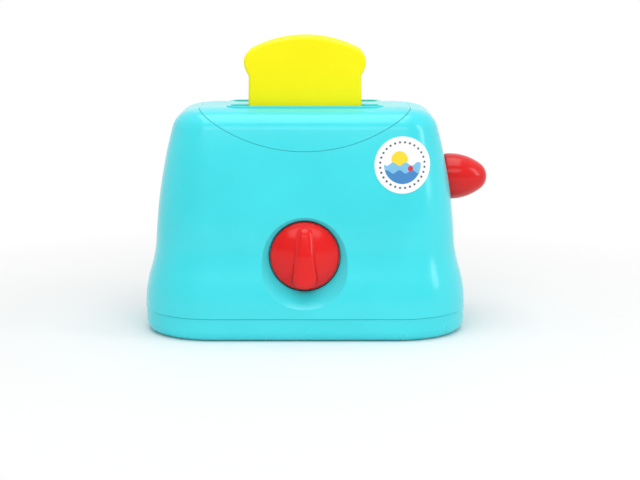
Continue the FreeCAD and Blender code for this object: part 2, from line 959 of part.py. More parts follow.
def make_toast_guide():
    wall = S.guide_wall
    half_x = S.slot_length / 2 + wall
    half_y = S.slot_pitch / 2 + S.slot_width / 2 + wall
    top, bottom = guide_top(), guide_top() - S.guide_drop
    box = block("guide_box", -half_x, half_x, -half_y, half_y, bottom, top)
    ear_bottom = ear_bottom_height()
    ear_top = ear_bottom + S.ear_thickness
    ear_end = rod_x() + S.rod_radius + S.ear_margin
    ears = [
        block("guide_ear_right", half_x - 0.5, ear_end, -S.rod_spread / 2 - S.ear_side,
              S.rod_spread / 2 + S.ear_side, ear_bottom, ear_top),
        block("guide_ear_left", -ear_end, -half_x + 0.5, -S.left_ear_width / 2,
              S.left_ear_width / 2, ear_bottom, ear_top),
    ]
    whole = fuse("whole_guide", [box] + ears)
    half_gap = S.slot_pitch / 2 - S.slot_width / 2 - wall
    cells = [
        block("guide_middle", -S.slot_length / 2, S.slot_length / 2, -half_gap, half_gap,
              bottom - 1, top + 1)
    ]
    for row, y in slot_rows().items():
        cells.append(
            block(f"cell_{row}", -S.slot_length / 2, S.slot_length / 2,
                  y - S.slot_width / 2, y + S.slot_width / 2, bottom - 1, top + 1)
        )
        cells.append(
            block(f"cell_door_{row}", S.slot_length / 2 - 1, half_x + 1,
                  y - S.neck_width / 2 - 1, y + S.neck_width / 2 + 1, bottom - 1,
                  platform_top() + 2)
        )
    for row, y in rod_rows().items():
        cells.append(
            cylinder(f"ear_rod_hole_{row}", "+z", rod_x(), y, ear_bottom - 1,
                     S.rod_radius + S.screw_play, S.ear_thickness)
        )
    for i, x in enumerate(cover_post_spots(), start=1):
        cells.append(
            cylinder(f"ear_screw_hole_{i}", "+z", x, 0, ear_bottom - 1,
                     S.screw_radius + S.screw_play, S.ear_thickness + 2)
        )
    return cut("toast_guide", whole, cells)


def ear_bottom_height():
    return top_height() - S.cover_post_drop - S.ear_thickness


def make_cover_screws():
    z = ear_bottom_height()
    length = S.ear_thickness + S.cover_post_drop - S.wall - 0.5
    return group(
        "cover_screws",
        [
            screw(f"cover_screw_{i}", "+z", x, 0, z, length)
            for i, x in enumerate(cover_post_spots(), start=1)
        ],
    )


# Lift: guide rods, springs, carriage and lever knob


def make_guide_rod(row, y):
    bottom = S.pan_floor
    top = ear_bottom_height() + S.ear_thickness - 1
    return cylinder(f"guide_rod_{row}", "+z", rod_x(), y, bottom, S.rod_radius, top - bottom)


def sleeve_bottom():
    return platform_top() - S.sleeve_height


def make_lift_spring(row, y):
    z = rod_seat()
    bore = S.rod_radius + S.spring_gap
    length = sleeve_bottom() - z
    outside = cylinder(f"spring_outside_{row}", "+z", rod_x(), y, z, bore + S.spring_wire, length)
    inside = cylinder(f"spring_inside_{row}", "+z", rod_x(), y, z - 1, bore, length + 2)
    return cut(f"lift_spring_{row}", outside, [inside])


def make_carriage():
    parts, holes = [], []
    top = platform_top()
    sleeve_radius = S.rod_radius + S.rod_play + S.sleeve_wall
    for row, y in rod_rows().items():
        parts.append(
            cylinder(f"sleeve_{row}", "+z", rod_x(), y, sleeve_bottom(), sleeve_radius,
                     S.sleeve_height)
        )
        holes.append(
            cylinder(f"sleeve_bore_{row}", "+z", rod_x(), y, sleeve_bottom() - 1,
                     S.rod_radius + S.rod_play, S.sleeve_height + 2)
        )
    half_bar = S.bar_thickness / 2
    parts.append(
        block("carriage_bar", rod_x() - half_bar, rod_x() + half_bar,
              -S.rod_spread / 2 + S.rod_radius + 1, S.rod_spread / 2 - S.rod_radius - 1,
              top - S.bar_height, top)
    )
    for row, y in slot_rows().items():
        parts.append(make_platform(row, y))
        parts.append(
            block(f"neck_{row}", S.platform_length / 2 - 2, rod_x() - S.rod_radius - 1,
                  y - S.neck_width / 2, y + S.neck_width / 2, top - S.bar_thickness, top)
        )
    latch_front = -(latch_plane() + S.cam_thickness)
    parts.append(
        block("tooth_arm", rod_x() - half_bar, rod_x() + half_bar, latch_front,
              -S.rod_spread / 2 - S.rod_radius - 1, tooth_top() - S.tooth_depth - 1, tooth_top())
    )
    parts.append(
        block("tooth", tooth_edge(), rod_x(), latch_front, -latch_plane(),
              tooth_top() - S.tooth_depth, tooth_top())
    )
    tongue_back = track_floor() + S.lever_gap + S.socket_depth
    low = S.lever_height - S.tongue_height / 2
    parts.append(
        block("tongue", rod_x(), tongue_back, -S.tongue_width / 2, S.tongue_width / 2, low,
              S.lever_height + S.tongue_height / 2)
    )
    parts.append(
        block("tongue_root", rod_x() - half_bar, rod_x() + half_bar + S.root_length,
              -S.tongue_width / 2, S.tongue_width / 2, low, top)
    )
    return cut("carriage", fuse("whole_carriage", parts), holes)


def make_platform(row, y):
    """A long thin plate with round ends that a slice stands on."""
    body = new_body(f"platform_{row}")
    plan = new_sketch(
        body, f"platform_{row}_plan", "XY_Plane",
        height=platform_top() - S.platform_thickness, up=y,
    )
    add_rounded_box(plan, S.platform_length / 2, S.platform_width / 2, S.platform_width / 2 - S.slot_flat)
    body.Tip = pad(body, f"platform_{row}_pad", plan, S.platform_thickness)
    return body


def latch_plane():
    """How far in front of the middle the latch's rear face lies."""
    return case_back() - S.cam_gap - S.cam_thickness


def tooth_edge():
    return rod_x() - S.tooth_reach


def make_lever_knob():
    """A bullet-shaped knob, turned about the lever's axis, with a socket for the tongue."""
    body = new_body("lever_bullet")
    place(body, 0, 0, S.lever_height)
    sketch = new_sketch(body, "bullet_half", "XZ_Plane")
    back = track_floor() + S.lever_gap
    flank = S.lever_flank_angle
    join_x = lever_tip() - S.lever_tip_radius + S.lever_tip_radius * sin(flank)
    join_r = S.lever_tip_radius * cos(flank)
    flank_radius = (S.lever_radius - join_r) / (1 - cos(flank))
    shoulder_x = join_x - flank_radius * sin(flank)
    add_outline(
        sketch,
        [
            (back, 0),
            (lever_tip(), 0, S.lever_tip_radius, "left"),
            (join_x, join_r, flank_radius, "left"),
            (shoulder_x, S.lever_radius),
            (back + S.lever_back_round, S.lever_radius, S.lever_back_round, "left"),
            (back, S.lever_radius - S.lever_back_round),
        ],
    )
    turn = revolve(body, "bullet_turn", sketch, "H_Axis")
    socket = new_sketch(body, "socket_plan", "YZ_Plane", height=back)
    play = S.screw_play
    half_w, half_h = S.tongue_width / 2 + play, S.tongue_height / 2 + play
    add_box(socket, -half_w, half_w, -half_h, half_h)
    body.Tip = pocket(body, "socket", socket, S.socket_depth + play * 2, backwards=True)
    return body


def make_lever_knob_with_hole():
    bullet = make_lever_knob()
    x = track_floor() + S.lever_gap + S.socket_depth / 2
    hole = cylinder(
        "lever_screw_hole", "+z", x, 0, S.lever_height - S.lever_radius - 1,
        S.screw_radius + S.screw_play, S.lever_radius + 1,
    )
    head_hole = cylinder(
        "lever_screw_head_hole", "+z", x, 0, S.lever_height - S.lever_radius - 1,
        S.screw_head_radius + S.head_clearance, S.screw_head_height + 2.2,
    )
    return cut("lever_knob", bullet, [hole, head_hole])


def make_lever_screw():
    x = track_floor() + S.lever_gap + S.socket_depth / 2
    z = S.lever_height - S.lever_radius + 1 + S.screw_head_height + 0.2 - 0.6
    length = S.lever_height - S.tongue_height / 2 - z - S.screw_play
    return screw("lever_screw", "+z", x, 0, z, length)


# Play toast


def make_toast(row, y):
    body = new_body(f"toast_{row}")
    place(body, 0, y, platform_top() + S.toast_seat)
    sketch = new_sketch(body, f"toast_{row}_outline", "XZ_Plane")
    foot, waist, ears = S.toast_foot / 2, S.toast_waist / 2, S.toast_ears / 2
    ear_z = S.toast_height - S.toast_ear_drop
    waist_z = S.toast_height - S.toast_waist_drop
    foot_round = S.toast_foot_round
    ear_round = S.toast_ear_round
    ear_in = ears - ear_round
    drop = S.toast_ear_drop
    dome_radius = (ear_in * ear_in + drop * drop - ear_round * ear_round) / ((drop - ear_round) * 2)
    join = ear_round / (dome_radius - ear_round)
    join_x = ear_in + join * ear_in
    join_z = ear_z + join * (dome_radius - drop)
    neck_run = ears - waist
    neck_drop = ear_z - waist_z
    both_radii = (neck_run * neck_run + neck_drop * neck_drop) / (neck_run * 2)
    hollow_share = S.toast_neck_share
    hollow_radius = both_radii * hollow_share
    cheek_radius = both_radii - hollow_radius
    turn_x, turn_z = waist + neck_run * hollow_share, waist_z + neck_drop * hollow_share
    add_outline(
        sketch,
        [
            (-foot + foot_round, 0),
            (foot - foot_round, 0, foot_round, "left"),
            (foot, foot_round),
            (waist, waist_z, hollow_radius, "right"),
            (turn_x, turn_z, cheek_radius, "left"),
            (ears, ear_z, ear_round, "left"),
            (join_x, join_z, dome_radius, "left"),
            (-join_x, join_z, ear_round, "left"),
            (-ears, ear_z, cheek_radius, "left"),
            (-turn_x, turn_z, hollow_radius, "right"),
            (-waist, waist_z),
            (-foot, foot_round, foot_round, "left"),
        ],
    )
    slab = pad(body, f"toast_{row}_pad", sketch, S.toast_thickness, both_ways=True)
    half = S.toast_thickness.value / 2
    body.Tip = fillet(
        body, f"toast_{row}_edges", slab, S.toast_edge,
        lambda e: near(abs(e.BoundBox.YMin), half) and near(e.BoundBox.YMin, e.BoundBox.YMax),
    )
    return body


# Wind-up dial and timer


def make_dial_knob():
    """A round knob with a domed face and a drop-shaped grip, built facing +Z."""
    body = new_body("dial_knob")
    body.Placement = Placement(Vector(), TURNS["-y"])
    place(body, 0, -well_floor() - S.dial_play, S.dial_height)
    sketch = new_sketch(body, "dial_half", "XZ_Plane")
    edge = S.dial_edge
    rim_r = S.dial_radius - edge
    rim_top = S.dial_rim + edge
    rise = S.dial_dome - rim_top
    face_radius = (rim_r * rim_r + rise * rise) / (rise * 2)
    add_outline(
        sketch,
        [
            (0, 0),
            (S.dial_radius, 0),
            (S.dial_radius, S.dial_rim, edge, "left"),
            (rim_r, rim_top, face_radius, "left"),
            (0, S.dial_dome),
        ],
    )
    disc = revolve(body, "dial_disc", sketch, "V_Axis")
    DOC.recompute()
    grip = new_sketch(body, "grip_plan", "XY_Plane", height=1)
    low_r, top_r = S.ridge_low_radius, S.ridge_top_radius
    low_y, top_y = -S.ridge_bottom + low_r, S.ridge_top - top_r
    lean = (low_r - top_r) / (top_y - low_y)
    flat = sqrt(1 - lean * lean)
    add_outline(
        grip,
        [
            (low_r * flat, low_y + low_r * lean),
            (top_r * flat, top_y + top_r * lean, top_r, "left"),
            (0, S.ridge_top, top_r, "left"),
            (-(top_r * flat), top_y + top_r * lean),
            (-(low_r * flat), low_y + low_r * lean, low_r, "left"),
            (0, -S.ridge_bottom, low_r, "left"),
        ],
    )
    ridge = pad(body, "grip_pad", grip, S.ridge_height - 1)
    top = S.ridge_height.value
    rounded = fillet(
        body, "grip_round", ridge, S.ridge_round,
        lambda e: near(e.BoundBox.ZMin, top) and near(e.BoundBox.ZMax, top),
    )
    DOC.recompute()
    bore = new_sketch(body, "dial_bore_plan", "XY_Plane")
    add_circle(bore, 0, 0, S.arbor_radius + S.screw_play)
    body.Tip = pocket(body, "dial_bore", bore, S.arbor_grip + 0.2, backwards=True)
    return body


def make_dial_arbor():
    start = latch_plane()
    end = well_floor() + S.dial_play + S.arbor_grip
    return cylinder("dial_arbor", "-y", 0, -start, S.dial_height, S.arbor_radius, end - start)


def make_snail_cam():
    """A cam whose edge falls evenly from high to low over the dial's sweep."""
    count = 36
    high, low, sweep = S.cam_high.value, S.cam_low.value, S.cam_sweep.value
    step_in = S.cam_step.value
    spots = []
    for i in range(count + 1):
        turn = sweep * i / count
        radius = high + (low - high) * turn / sweep
        angle = math.radians(-90 + turn)
        spots.append(Vector(radius * math.cos(angle), radius * math.sin(angle), 0))
    edge = Part.BSplineCurve()
    edge.interpolate(spots)
    step = Part.LineSegment(spots[-1], Vector(-low * step_in, -low * step_in, 0))
    back = Part.LineSegment(step.EndPoint, spots[0])
    wire = Part.Wire([edge.toShape(), step.toShape(), back.toShape()])
    plate = Part.Face(wire).extrude(Vector(0, 0, S.cam_thickness.value))
    bore = Part.makeCylinder(
        S.arbor_radius.value + S.screw_play.value, S.cam_thickness.value + 2, Vector(0, 0, -1)
    )
    cam = DOC.addObject("Part::Feature", "snail_cam")
    cam.Shape = plate.cut(bore)
    cam.Placement = Placement(Vector(), TURNS["-y"])
    place(cam, 0, -latch_plane(), S.dial_height)
    return cam


def make_timer_case():
    body = new_body("timer_block")
    plan = new_sketch(
        body, "timer_plan", "XZ_Plane", height=case_back(), up=S.dial_height
    )
    add_rounded_box(plan, S.case_width / 2, S.case_height / 2, S.case_corner)
    body.Tip = pad(body, "timer_pad", plan, S.case_depth)
    holes = [
        cylinder("timer_bore", "-y", 0, -case_back() + 1, S.dial_height,
                 S.arbor_radius + S.arbor_play, S.case_depth + 2)
    ]
    for i, x in enumerate(case_screw_spots(), start=1):
        holes.append(
            cylinder(f"timer_hole_{i}", "+y", x, -(case_back() + S.case_depth + 1),
                     S.dial_height, S.screw_radius + S.screw_play, S.case_depth - 2)
        )
    return cut("timer_case", body, holes)


def make_timer_screws():
    return group(
        "timer_screws",
        [
            screw(f"timer_screw_{i}", "+y", x, -(well_floor() - screw_sink()), S.dial_height,
                  S.well_plate - screw_sink() + S.case_depth / 2)
            for i, x in enumerate(case_screw_spots(), start=1)
        ],
    )


def make_latch_arm():
    """A bell crank: a pad under the cam, a pivot eye and a hook beside the carriage."""
    body = new_body("latch_crank")
    plan = new_sketch(
        body, "latch_plan", "XZ_Plane", height=latch_plane(),
    )
    px, pz, w = S.latch_pivot_x, S.latch_pivot_z, S.latch_arm_width / 2
    pad_top = S.dial_height - S.cam_high - S.latch_play
    pad_x = S.cam_high - 1
    down = tooth_top() - S.carriage_travel
    hook_low = down + S.latch_play * 3
    hook_x = tooth_edge() - 1
    stem = px + w
    add_outline(
        plan,
        [
            (-S.latch_toe, pad_top),
            (-S.latch_toe, pad_top - S.latch_pad),
            (pad_x, pad_top - S.latch_pad),
            (px - w, pz - w),
            (stem, pz - w),
            (stem, down - S.tooth_depth - 3),
            (stem - 2, down - S.tooth_depth),
            (stem - 2, hook_low),
            (hook_x, hook_low),
            (hook_x - 2, hook_low + S.hook_height),
            (px - w, hook_low + S.hook_height),
            (px - w, pz + w + 2),
            (pad_x + 2, pad_top),
        ],
    )
    body.Tip = pad(body, "latch_pad", plan, S.cam_thickness)
    eye = cylinder(
        "latch_eye", "-y", px, -latch_plane(), pz, S.latch_arm_width * 0.9, S.cam_thickness
    )
    bore = cylinder(
        "latch_bore", "-y", px, -latch_plane() + 1, pz, S.latch_pin_radius + S.rod_play,
        S.cam_thickness + 2,
    )
    return cut("latch_arm", fuse("whole_latch", [body, eye]), [bore])


def make_latch_bracket():
    """An upright plate on the pan's floor that carries the latch's pin."""
    back = latch_plane() + S.cam_thickness + S.cam_gap
    px, pz = S.latch_pivot_x, S.latch_pivot_z
    floor = S.pan_floor
    half = S.bracket_width / 2
    body = new_body("bracket_plate")
    plan = new_sketch(body, "bracket_plan", "XZ_Plane", height=back)
    add_outline(
        plan,
        [
            (px - half, floor),
            (px + half, floor),
            (px + half, pz, half, "left"),
            (px, pz + half, half, "left"),
            (px - half, pz),
        ],
    )
    body.Tip = pad(body, "bracket_pad", plan, S.bracket_thickness)
    foot = block(
        "bracket_foot", px - half, px + half, -back - S.bracket_thickness - S.bracket_foot, -back,
        floor, floor + S.bracket_thickness,
    )
    pin = cylinder(
        "latch_pin", "-y", px, -latch_plane() + 1, pz, S.latch_pin_radius,
        S.cam_thickness + S.cam_gap + 2,
    )
    return fuse("latch_bracket", [body, foot, pin])


# Files


def check(nodes):
    failed = [t.Name for t in DOC.Objects if "Invalid" in t.State or "Error" in t.State]
    if failed:
        raise RuntimeError(f"these failed: {failed}")
    for name, thing in nodes.items():
        shape = thing.Shape
        if shape.isNull() or not shape.isValid() or shape.Volume <= 0:
            raise RuntimeError(f"{name} has no valid shape")
        print(f"{name}: {len(shape.Solids)} solid, {shape.Volume:.1f} mm3, {len(shape.Faces)} faces")


def main():
    fill_sheet()
    bottom = shell_bottom()
    outer = bell_form("outer_form", 0, bottom)
    inner = bell_form("inner_form", S.wall, bottom - 1)
    nodes = {}
    nodes["body_shell"] = make_body_shell(outer, inner)
    nodes["top_cover"] = make_top_cover(outer, inner)
    nodes["base_pan"] = make_base_pan()
    for i, (x, y) in enumerate(foot_spots(), start=1):
        nodes[f"foot_{i}"] = make_foot(i, x, y)
    nodes["base_screws"] = make_base_screws()
    nodes["round_label"] = make_round_label(outer)
    nodes["toast_guide"] = make_toast_guide()
    nodes["cover_screws"] = make_cover_screws()
    for row, y in rod_rows().items():
        nodes[f"guide_rod_{row}"] = make_guide_rod(row, y)
        nodes[f"lift_spring_{row}"] = make_lift_spring(row, y)
    nodes["carriage"] = make_carriage()
    nodes["lever_knob"] = make_lever_knob_with_hole()
    nodes["lever_screw"] = make_lever_screw()
    for row, y in slot_rows().items():
        nodes[f"toast_{row}"] = make_toast(row, y)
    nodes["dial_knob"] = make_dial_knob()
    nodes["dial_arbor"] = make_dial_arbor()
    nodes["snail_cam"] = make_snail_cam()
    nodes["timer_case"] = make_timer_case()
    nodes["timer_screws"] = make_timer_screws()
    nodes["latch_arm"] = make_latch_arm()
    nodes["latch_bracket"] = make_latch_bracket()
    DOC.recompute()
    for name, thing in nodes.items():
        thing.Label = name
    check(nodes)
    os.makedirs("parts", exist_ok=True)
    for name, thing in nodes.items():
        thing.Shape.exportStep(os.path.join("parts", f"{name}.step"))


main()
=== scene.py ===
import math

import bmesh
import bpy
from mathutils import Matrix, Vector


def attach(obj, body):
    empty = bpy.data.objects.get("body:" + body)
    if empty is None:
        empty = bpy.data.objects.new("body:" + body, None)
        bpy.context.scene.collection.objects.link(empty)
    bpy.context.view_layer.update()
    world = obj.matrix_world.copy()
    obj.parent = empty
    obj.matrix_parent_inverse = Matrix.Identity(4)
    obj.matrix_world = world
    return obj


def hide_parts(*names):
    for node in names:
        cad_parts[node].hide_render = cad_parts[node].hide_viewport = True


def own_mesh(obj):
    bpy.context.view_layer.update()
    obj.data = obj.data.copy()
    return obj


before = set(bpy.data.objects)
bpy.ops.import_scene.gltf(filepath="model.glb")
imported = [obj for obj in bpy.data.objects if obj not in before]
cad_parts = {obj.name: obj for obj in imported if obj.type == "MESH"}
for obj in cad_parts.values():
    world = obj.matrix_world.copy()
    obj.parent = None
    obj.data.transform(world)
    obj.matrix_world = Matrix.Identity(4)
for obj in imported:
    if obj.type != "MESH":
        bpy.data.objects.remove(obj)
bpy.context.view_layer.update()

# Toy toaster. The lengths below are in millimetres, and MM turns them to metres.
MM = 0.001

# Housing: a rounded rectangle in plan, with a bell-shaped side
BODY_WIDTH = 183.0
BODY_DEPTH = 112.0
CORNER = 40.0
WALL = 2.2
BAND_TOP = 15.5
# the side's arcs from the band to the crown: leaning angle where each starts, radius, bulge
SIDE_ARCS = [
    (0.0, 67.0, 1),
    (18.0, 67.0, -1),
    (3.0, 300.0, 1),
    (15.2, 13.5, 1),
    (75.0, 50.0, 1),
]
CROWN_LEAN = 87.0
HALF_WIDTH = BODY_WIDTH / 2
HALF_DEPTH = BODY_DEPTH / 2

# Base pan
PAN_EDGE = 13.0
PAN_INSET = 0.4
PAN_ROUND = 6.0
PAN_FLOOR = 2.2
PAN_WALL = 2.6
SEAM_GAP = 0.2
SHELL_BOTTOM = PAN_EDGE + SEAM_GAP
FOOT_X = HALF_WIDTH - 31.0
FOOT_Y = HALF_DEPTH - 22.0
FOOT_RADIUS = 7.0
FOOT_HEIGHT = 1.2
SCREW_REACH = 30.5
BOSS_TOP = 28.0

# Top cover with its two slots
SEAM_RADIUS = 91.0
SEAM_DROP = 22.7
SLOT_LENGTH = 84.0
SLOT_WIDTH = 11.0
SLOT_PITCH = 29.0
RIM_MARGIN = 2.5
RIM_HEIGHT = 0.7
RIM_CORNER = 8.0

# Dial in its well
DIAL_Z = 47.0
WELL_RADIUS = 20.0
WELL_LIP = HALF_DEPTH - 9.9
WELL_FLOOR = HALF_DEPTH - 14.0
WELL_PLATE = 3.6
DISH_ANGLE = 40.7
DIAL_RADIUS = 19.3
DIAL_BACK = WELL_FLOOR + 0.5
DIAL_EDGE = 2.2
DIAL_RIM = 5.6
DIAL_DOME = 9.8
GRIP_HEIGHT = 12.6
GRIP_TOP = 16.3
GRIP_BOTTOM = 18.3
GRIP_TOP_RADIUS = 4.4
GRIP_LOW_RADIUS = 6.8
GRIP_ROUND = 5.0
GRIP_FALL = 3.4
GRIP_SLOPE = 0.34
GRIP_SLOPE_LENGTH = 16.0

# Lever knob and its track
LEVER_Z = 85.7
LEVER_TRAVEL = 42.0
LEVER_RADIUS = 13.2
LEVER_TIP = HALF_WIDTH + 13.5
LEVER_TIP_RADIUS = 9.0
LEVER_FLANK = 38.0
LEVER_BACK_ROUND = 2.2
TRACK_FLOOR = HALF_WIDTH - 13.0
TRACK_WIDTH = 29.5
TRACK_BOTTOM = LEVER_Z - LEVER_TRAVEL - LEVER_RADIUS - 2.5
TRACK_ROUND = 3.0
TRACK_SLOT = 7.0
TRACK_SLOT_HIGH = LEVER_Z + 5.4
TRACK_SLOT_LOW = LEVER_Z - 5.4 - LEVER_TRAVEL
TRACK_BACK_TOP = TRACK_SLOT_HIGH + WALL * 4.8
LEVER_BACK = TRACK_FLOOR + 1.2
KNOB_SCREW_X = LEVER_BACK + 6.5
KNOB_SCREW_Z = LEVER_Z - LEVER_RADIUS + 2.2

# Slices of play toast
SLICE_THICKNESS = 8.0
SLICE_BASE = 92.5
SLICE_HEIGHT = 74.0
SLICE_EARS = 68.7
SLICE_WAIST = 63.3
SLICE_FOOT = 64.8
EAR_DROP = 13.6
WAIST_DROP = 22.5
FOOT_ROUND = 6.0
EAR_ROUND = 7.0
NECK_SHARE = 0.2
SLICE_EDGE = 1.6

# Round label
LABEL_X = HALF_WIDTH - 37.5
LABEL_Z = 97.6
LABEL_RADIUS = 15.5
LABEL_THICKNESS = 0.25

# Lift springs and screws
SPRING_X = 51.0
SPRING_Y = 13.0
SPRING_LOW = PAN_EDGE + 2.5
SPRING_HIGH = 80.3
SPRING_COIL = 2.6
SPRING_WIRE = 0.6
SPRING_TURNS = 18.0
SCREW_RADIUS = 1.25
SCREW_HEAD = 2.6
SCREW_HEAD_HEIGHT = 1.6
PAN_SCREW_Z = 4.6
PAN_SCREW_LENGTH = 17.4
GUIDE_SCREW_X = 47.5
GUIDE_SCREW_DROP = 13.0
GUIDE_SCREW_LENGTH = 10.3
DIAL_SCREW_X = 16.0
DIAL_SCREW_Y = WELL_FLOOR - 1.8
DIAL_SCREW_LENGTH = 6.8
KNOB_SCREW_LENGTH = 5.9

# Radii of posts and holes, and reaches well clear of the toy, where cutters end
HEAD_HOLE = 2.9
SHANK_HOLE = 1.3
BOSS_RADIUS = 4.0
POST_RADIUS = 5.0
ROD_POST_RADIUS = 4.4
ROD_HOLE = 1.65
STEM_HOLE = 2.55
SEAT_GAP = 0.05
CLEAR_SIDE = 120.0
CLEAR_FRONT = 80.0
CLEAR_ABOVE = 140.0

# Camera
CAMERA_SPOT = (8.5, -902.0, 207.8)
CAMERA_PITCH = 10.05
FOCAL_PIXELS = 1568.0
IMAGE_WIDTH = 640.0

# Strength of the room's even light, from the front and the back, and of its mirror image
FRONT_FILL = 0.8
BACK_FILL = 0.4
FRONT_MIRROR = 0.45


# Mesh helpers


def new_object(name, points, faces, edges=()):
    """A mesh object from points in millimetres."""
    mesh = bpy.data.meshes.new(name)
    mesh.from_pydata([[c * MM for c in p] for p in points], edges, faces)
    mesh.update()
    piece = bpy.data.objects.new(name, mesh)
    bpy.context.scene.collection.objects.link(piece)
    return piece


def close_up(piece, distance=0.00001, fill=False):
    """Merges doubled points, fills open rims where asked, and turns all faces outward."""
    work = bmesh.new()
    work.from_mesh(piece.data)
    bmesh.ops.remove_doubles(work, verts=work.verts, dist=distance)
    if fill:
        rims = [e for e in work.edges if e.is_boundary]
        bmesh.ops.holes_fill(work, edges=rims, sides=0)
    bmesh.ops.recalc_face_normals(work, faces=work.faces)
    work.to_mesh(piece.data)
    work.free()
    piece.data.update()
    return piece


def settle(piece):
    """Turns the piece's live modifiers into a plain mesh."""
    bpy.context.view_layer.update()
    ready = piece.evaluated_get(bpy.context.evaluated_depsgraph_get())
    mesh = bpy.data.meshes.new_from_object(ready)
    old = piece.data
    piece.modifiers.clear()
    piece.data = mesh
    bpy.data.meshes.remove(old)
    mesh.name = piece.name
    return piece


def combine(piece, tool, operation):
    """Cuts, joins or keeps the shared part of two closed solids."""
    change = piece.modifiers.new(operation, "BOOLEAN")
    change.object = tool
    change.operation = operation
    change.solver = "MANIFOLD"
    settle(piece)
    bpy.data.objects.remove(tool)
    return piece


def drop_slivers(piece, distance=0.00002):
    """Takes out the thin leftover faces of cuts."""
    work = bmesh.new()
    work.from_mesh(piece.data)
    bmesh.ops.dissolve_degenerate(work, dist=distance, edges=work.edges)
    work.to_mesh(piece.data)
    work.free()


def finish_edges(piece, angle=28.0):
    """Smooth faces with the corners over the angle kept crisp, weighed by face size."""
    drop_slivers(piece)
    piece.data.shade_smooth()
    piece.data.set_sharp_from_angle(angle=math.radians(angle))
    weigh = piece.modifiers.new("weigh", "WEIGHTED_NORMAL")
    weigh.keep_sharp = True
    return settle(piece)


def arc(cx, cy, radius, start, end, steps):
    """Points of an arc, by angles in degrees."""
    points = []
    for i in range(steps + 1):
        t = math.radians(start + (end - start) * i / steps)
        points.append((cx + radius * math.cos(t), cy + radius * math.sin(t)))
    return points


def capped_rings(name, rings):
    """A closed solid from rings of points, with a flat face at each end."""
    around = len(rings[0])
    points = [p for ring in rings for p in ring]
    faces = []
    for r in range(len(rings) - 1):
        a, b = r * around, (r + 1) * around
        for i in range(around):
            j = (i + 1) % around
            faces.append((a + i, a + j, b + j, b + i))
    faces.append(tuple(reversed(range(around))))
    last = (len(rings) - 1) * around
    faces.append(tuple(range(last, last + around)))
    return close_up(new_object(name, points, faces))


def lathe(name, profile, spot, steps=96):
    """A solid turned from (radius, way) pairs; spot gives the point in space."""
    rings = []
    for radius, way in profile:
        turns = [2 * math.pi * i / steps for i in range(steps)]
        rings.append([spot(radius * math.cos(t), radius * math.sin(t), way) for t in turns])
    return capped_rings(name, rings)


def box_solid(name, x0, x1, y0, y1, z0, z1):
    rings = [[(x0, y0, z), (x1, y0, z), (x1, y1, z), (x0, y1, z)] for z in (z0, z1)]
    return capped_rings(name, rings)


# Geometry Nodes helpers


def new_tree(name, inputs):
    """A node tree with a geometry and named inputs, given as (name, socket kind)."""
    tree = bpy.data.node_groups.new(name, "GeometryNodeTree")
    face = tree.interface
    face.new_socket("Geometry", in_out="INPUT", socket_type="NodeSocketGeometry")
    for label, kind in inputs:
        face.new_socket(label, in_out="INPUT", socket_type="NodeSocket" + kind)
    face.new_socket("Geometry", in_out="OUTPUT", socket_type="NodeSocketGeometry")
    return tree, tree.nodes.new("NodeGroupInput")


def joined(tree, kind, links=(), values=(), **settings):
    """A node with its settings, its set inputs and its linked inputs."""
    node = tree.nodes.new(kind)
    for key, value in settings.items():
        setattr(node, key, value)
    for key, value in dict(values).items():
        node.inputs[key].default_value = value
    for key, source in dict(links).items():
        tree.links.new(source, node.inputs[key])
    return node


def set_or_link(tree, socket, item):
    """Gives a socket a plain value, or a link from another socket."""
    if isinstance(item, (int, float, tuple)):
        socket.default_value = item
    else:
        tree.links.new(item, socket)


def math_node(tree, operation, *items):
    node = joined(tree, "ShaderNodeMath", operation=operation)
    for socket, item in zip(node.inputs, items):
        set_or_link(tree, socket, item)
    return node.outputs[0]


def end_tree(tree, start, result):
    """Ends the tree with real geometry in the piece's finish."""
    real = joined(tree, "GeometryNodeRealizeInstances", {"Geometry": result})
    finish = joined(
        tree, "GeometryNodeSetMaterial",
        {"Geometry": real.outputs[0], "Material": start.outputs["Finish"]},
    )
    joined(tree, "NodeGroupOutput", {"Geometry": finish.outputs[0]})


def grow(piece, tree, inputs):
    """Runs a node tree on a piece and keeps the result as a plain mesh."""
    change = piece.modifiers.new(tree.name, "NODES")
    change.node_group = tree
    sockets = {
        s.name: s.identifier for s in tree.interface.items_tree
        if s.item_type == "SOCKET" and s.in_out == "INPUT"
    }
    for label, value in inputs.items():
        change[sockets[label]] = value
    return settle(piece)


def make_sweep_tree():
    """Sweeps a side profile round a rounded rectangle, as all of the housing's forms are."""
    tree, start = new_tree(
        "sweep_round_plan",
        [("Width", "Float"), ("Depth", "Float"), ("Corner", "Float"), ("Corner Steps", "Int"),
         ("Finish", "Material")],
    )
    plan = joined(
        tree, "GeometryNodeCurvePrimitiveQuadrilateral",
        {"Width": start.outputs["Width"], "Height": start.outputs["Depth"]},
    )
    rounded = joined(
        tree, "GeometryNodeFilletCurve",
        {"Curve": plan.outputs[0], "Radius": start.outputs["Corner"],
         "Count": start.outputs["Corner Steps"]},
        mode="POLY",
    )
    upright = joined(
        tree, "GeometryNodeSetCurveNormal", {"Curve": rounded.outputs[0]}, mode="Z_UP"
    )
    side = joined(tree, "GeometryNodeMeshToCurve", {"Mesh": start.outputs["Geometry"]})
    sweep = joined(
        tree, "GeometryNodeCurveToMesh",
        {"Curve": upright.outputs[0], "Profile Curve": side.outputs[0]},
    )
    end_tree(tree, start, sweep.outputs[0])
    return tree


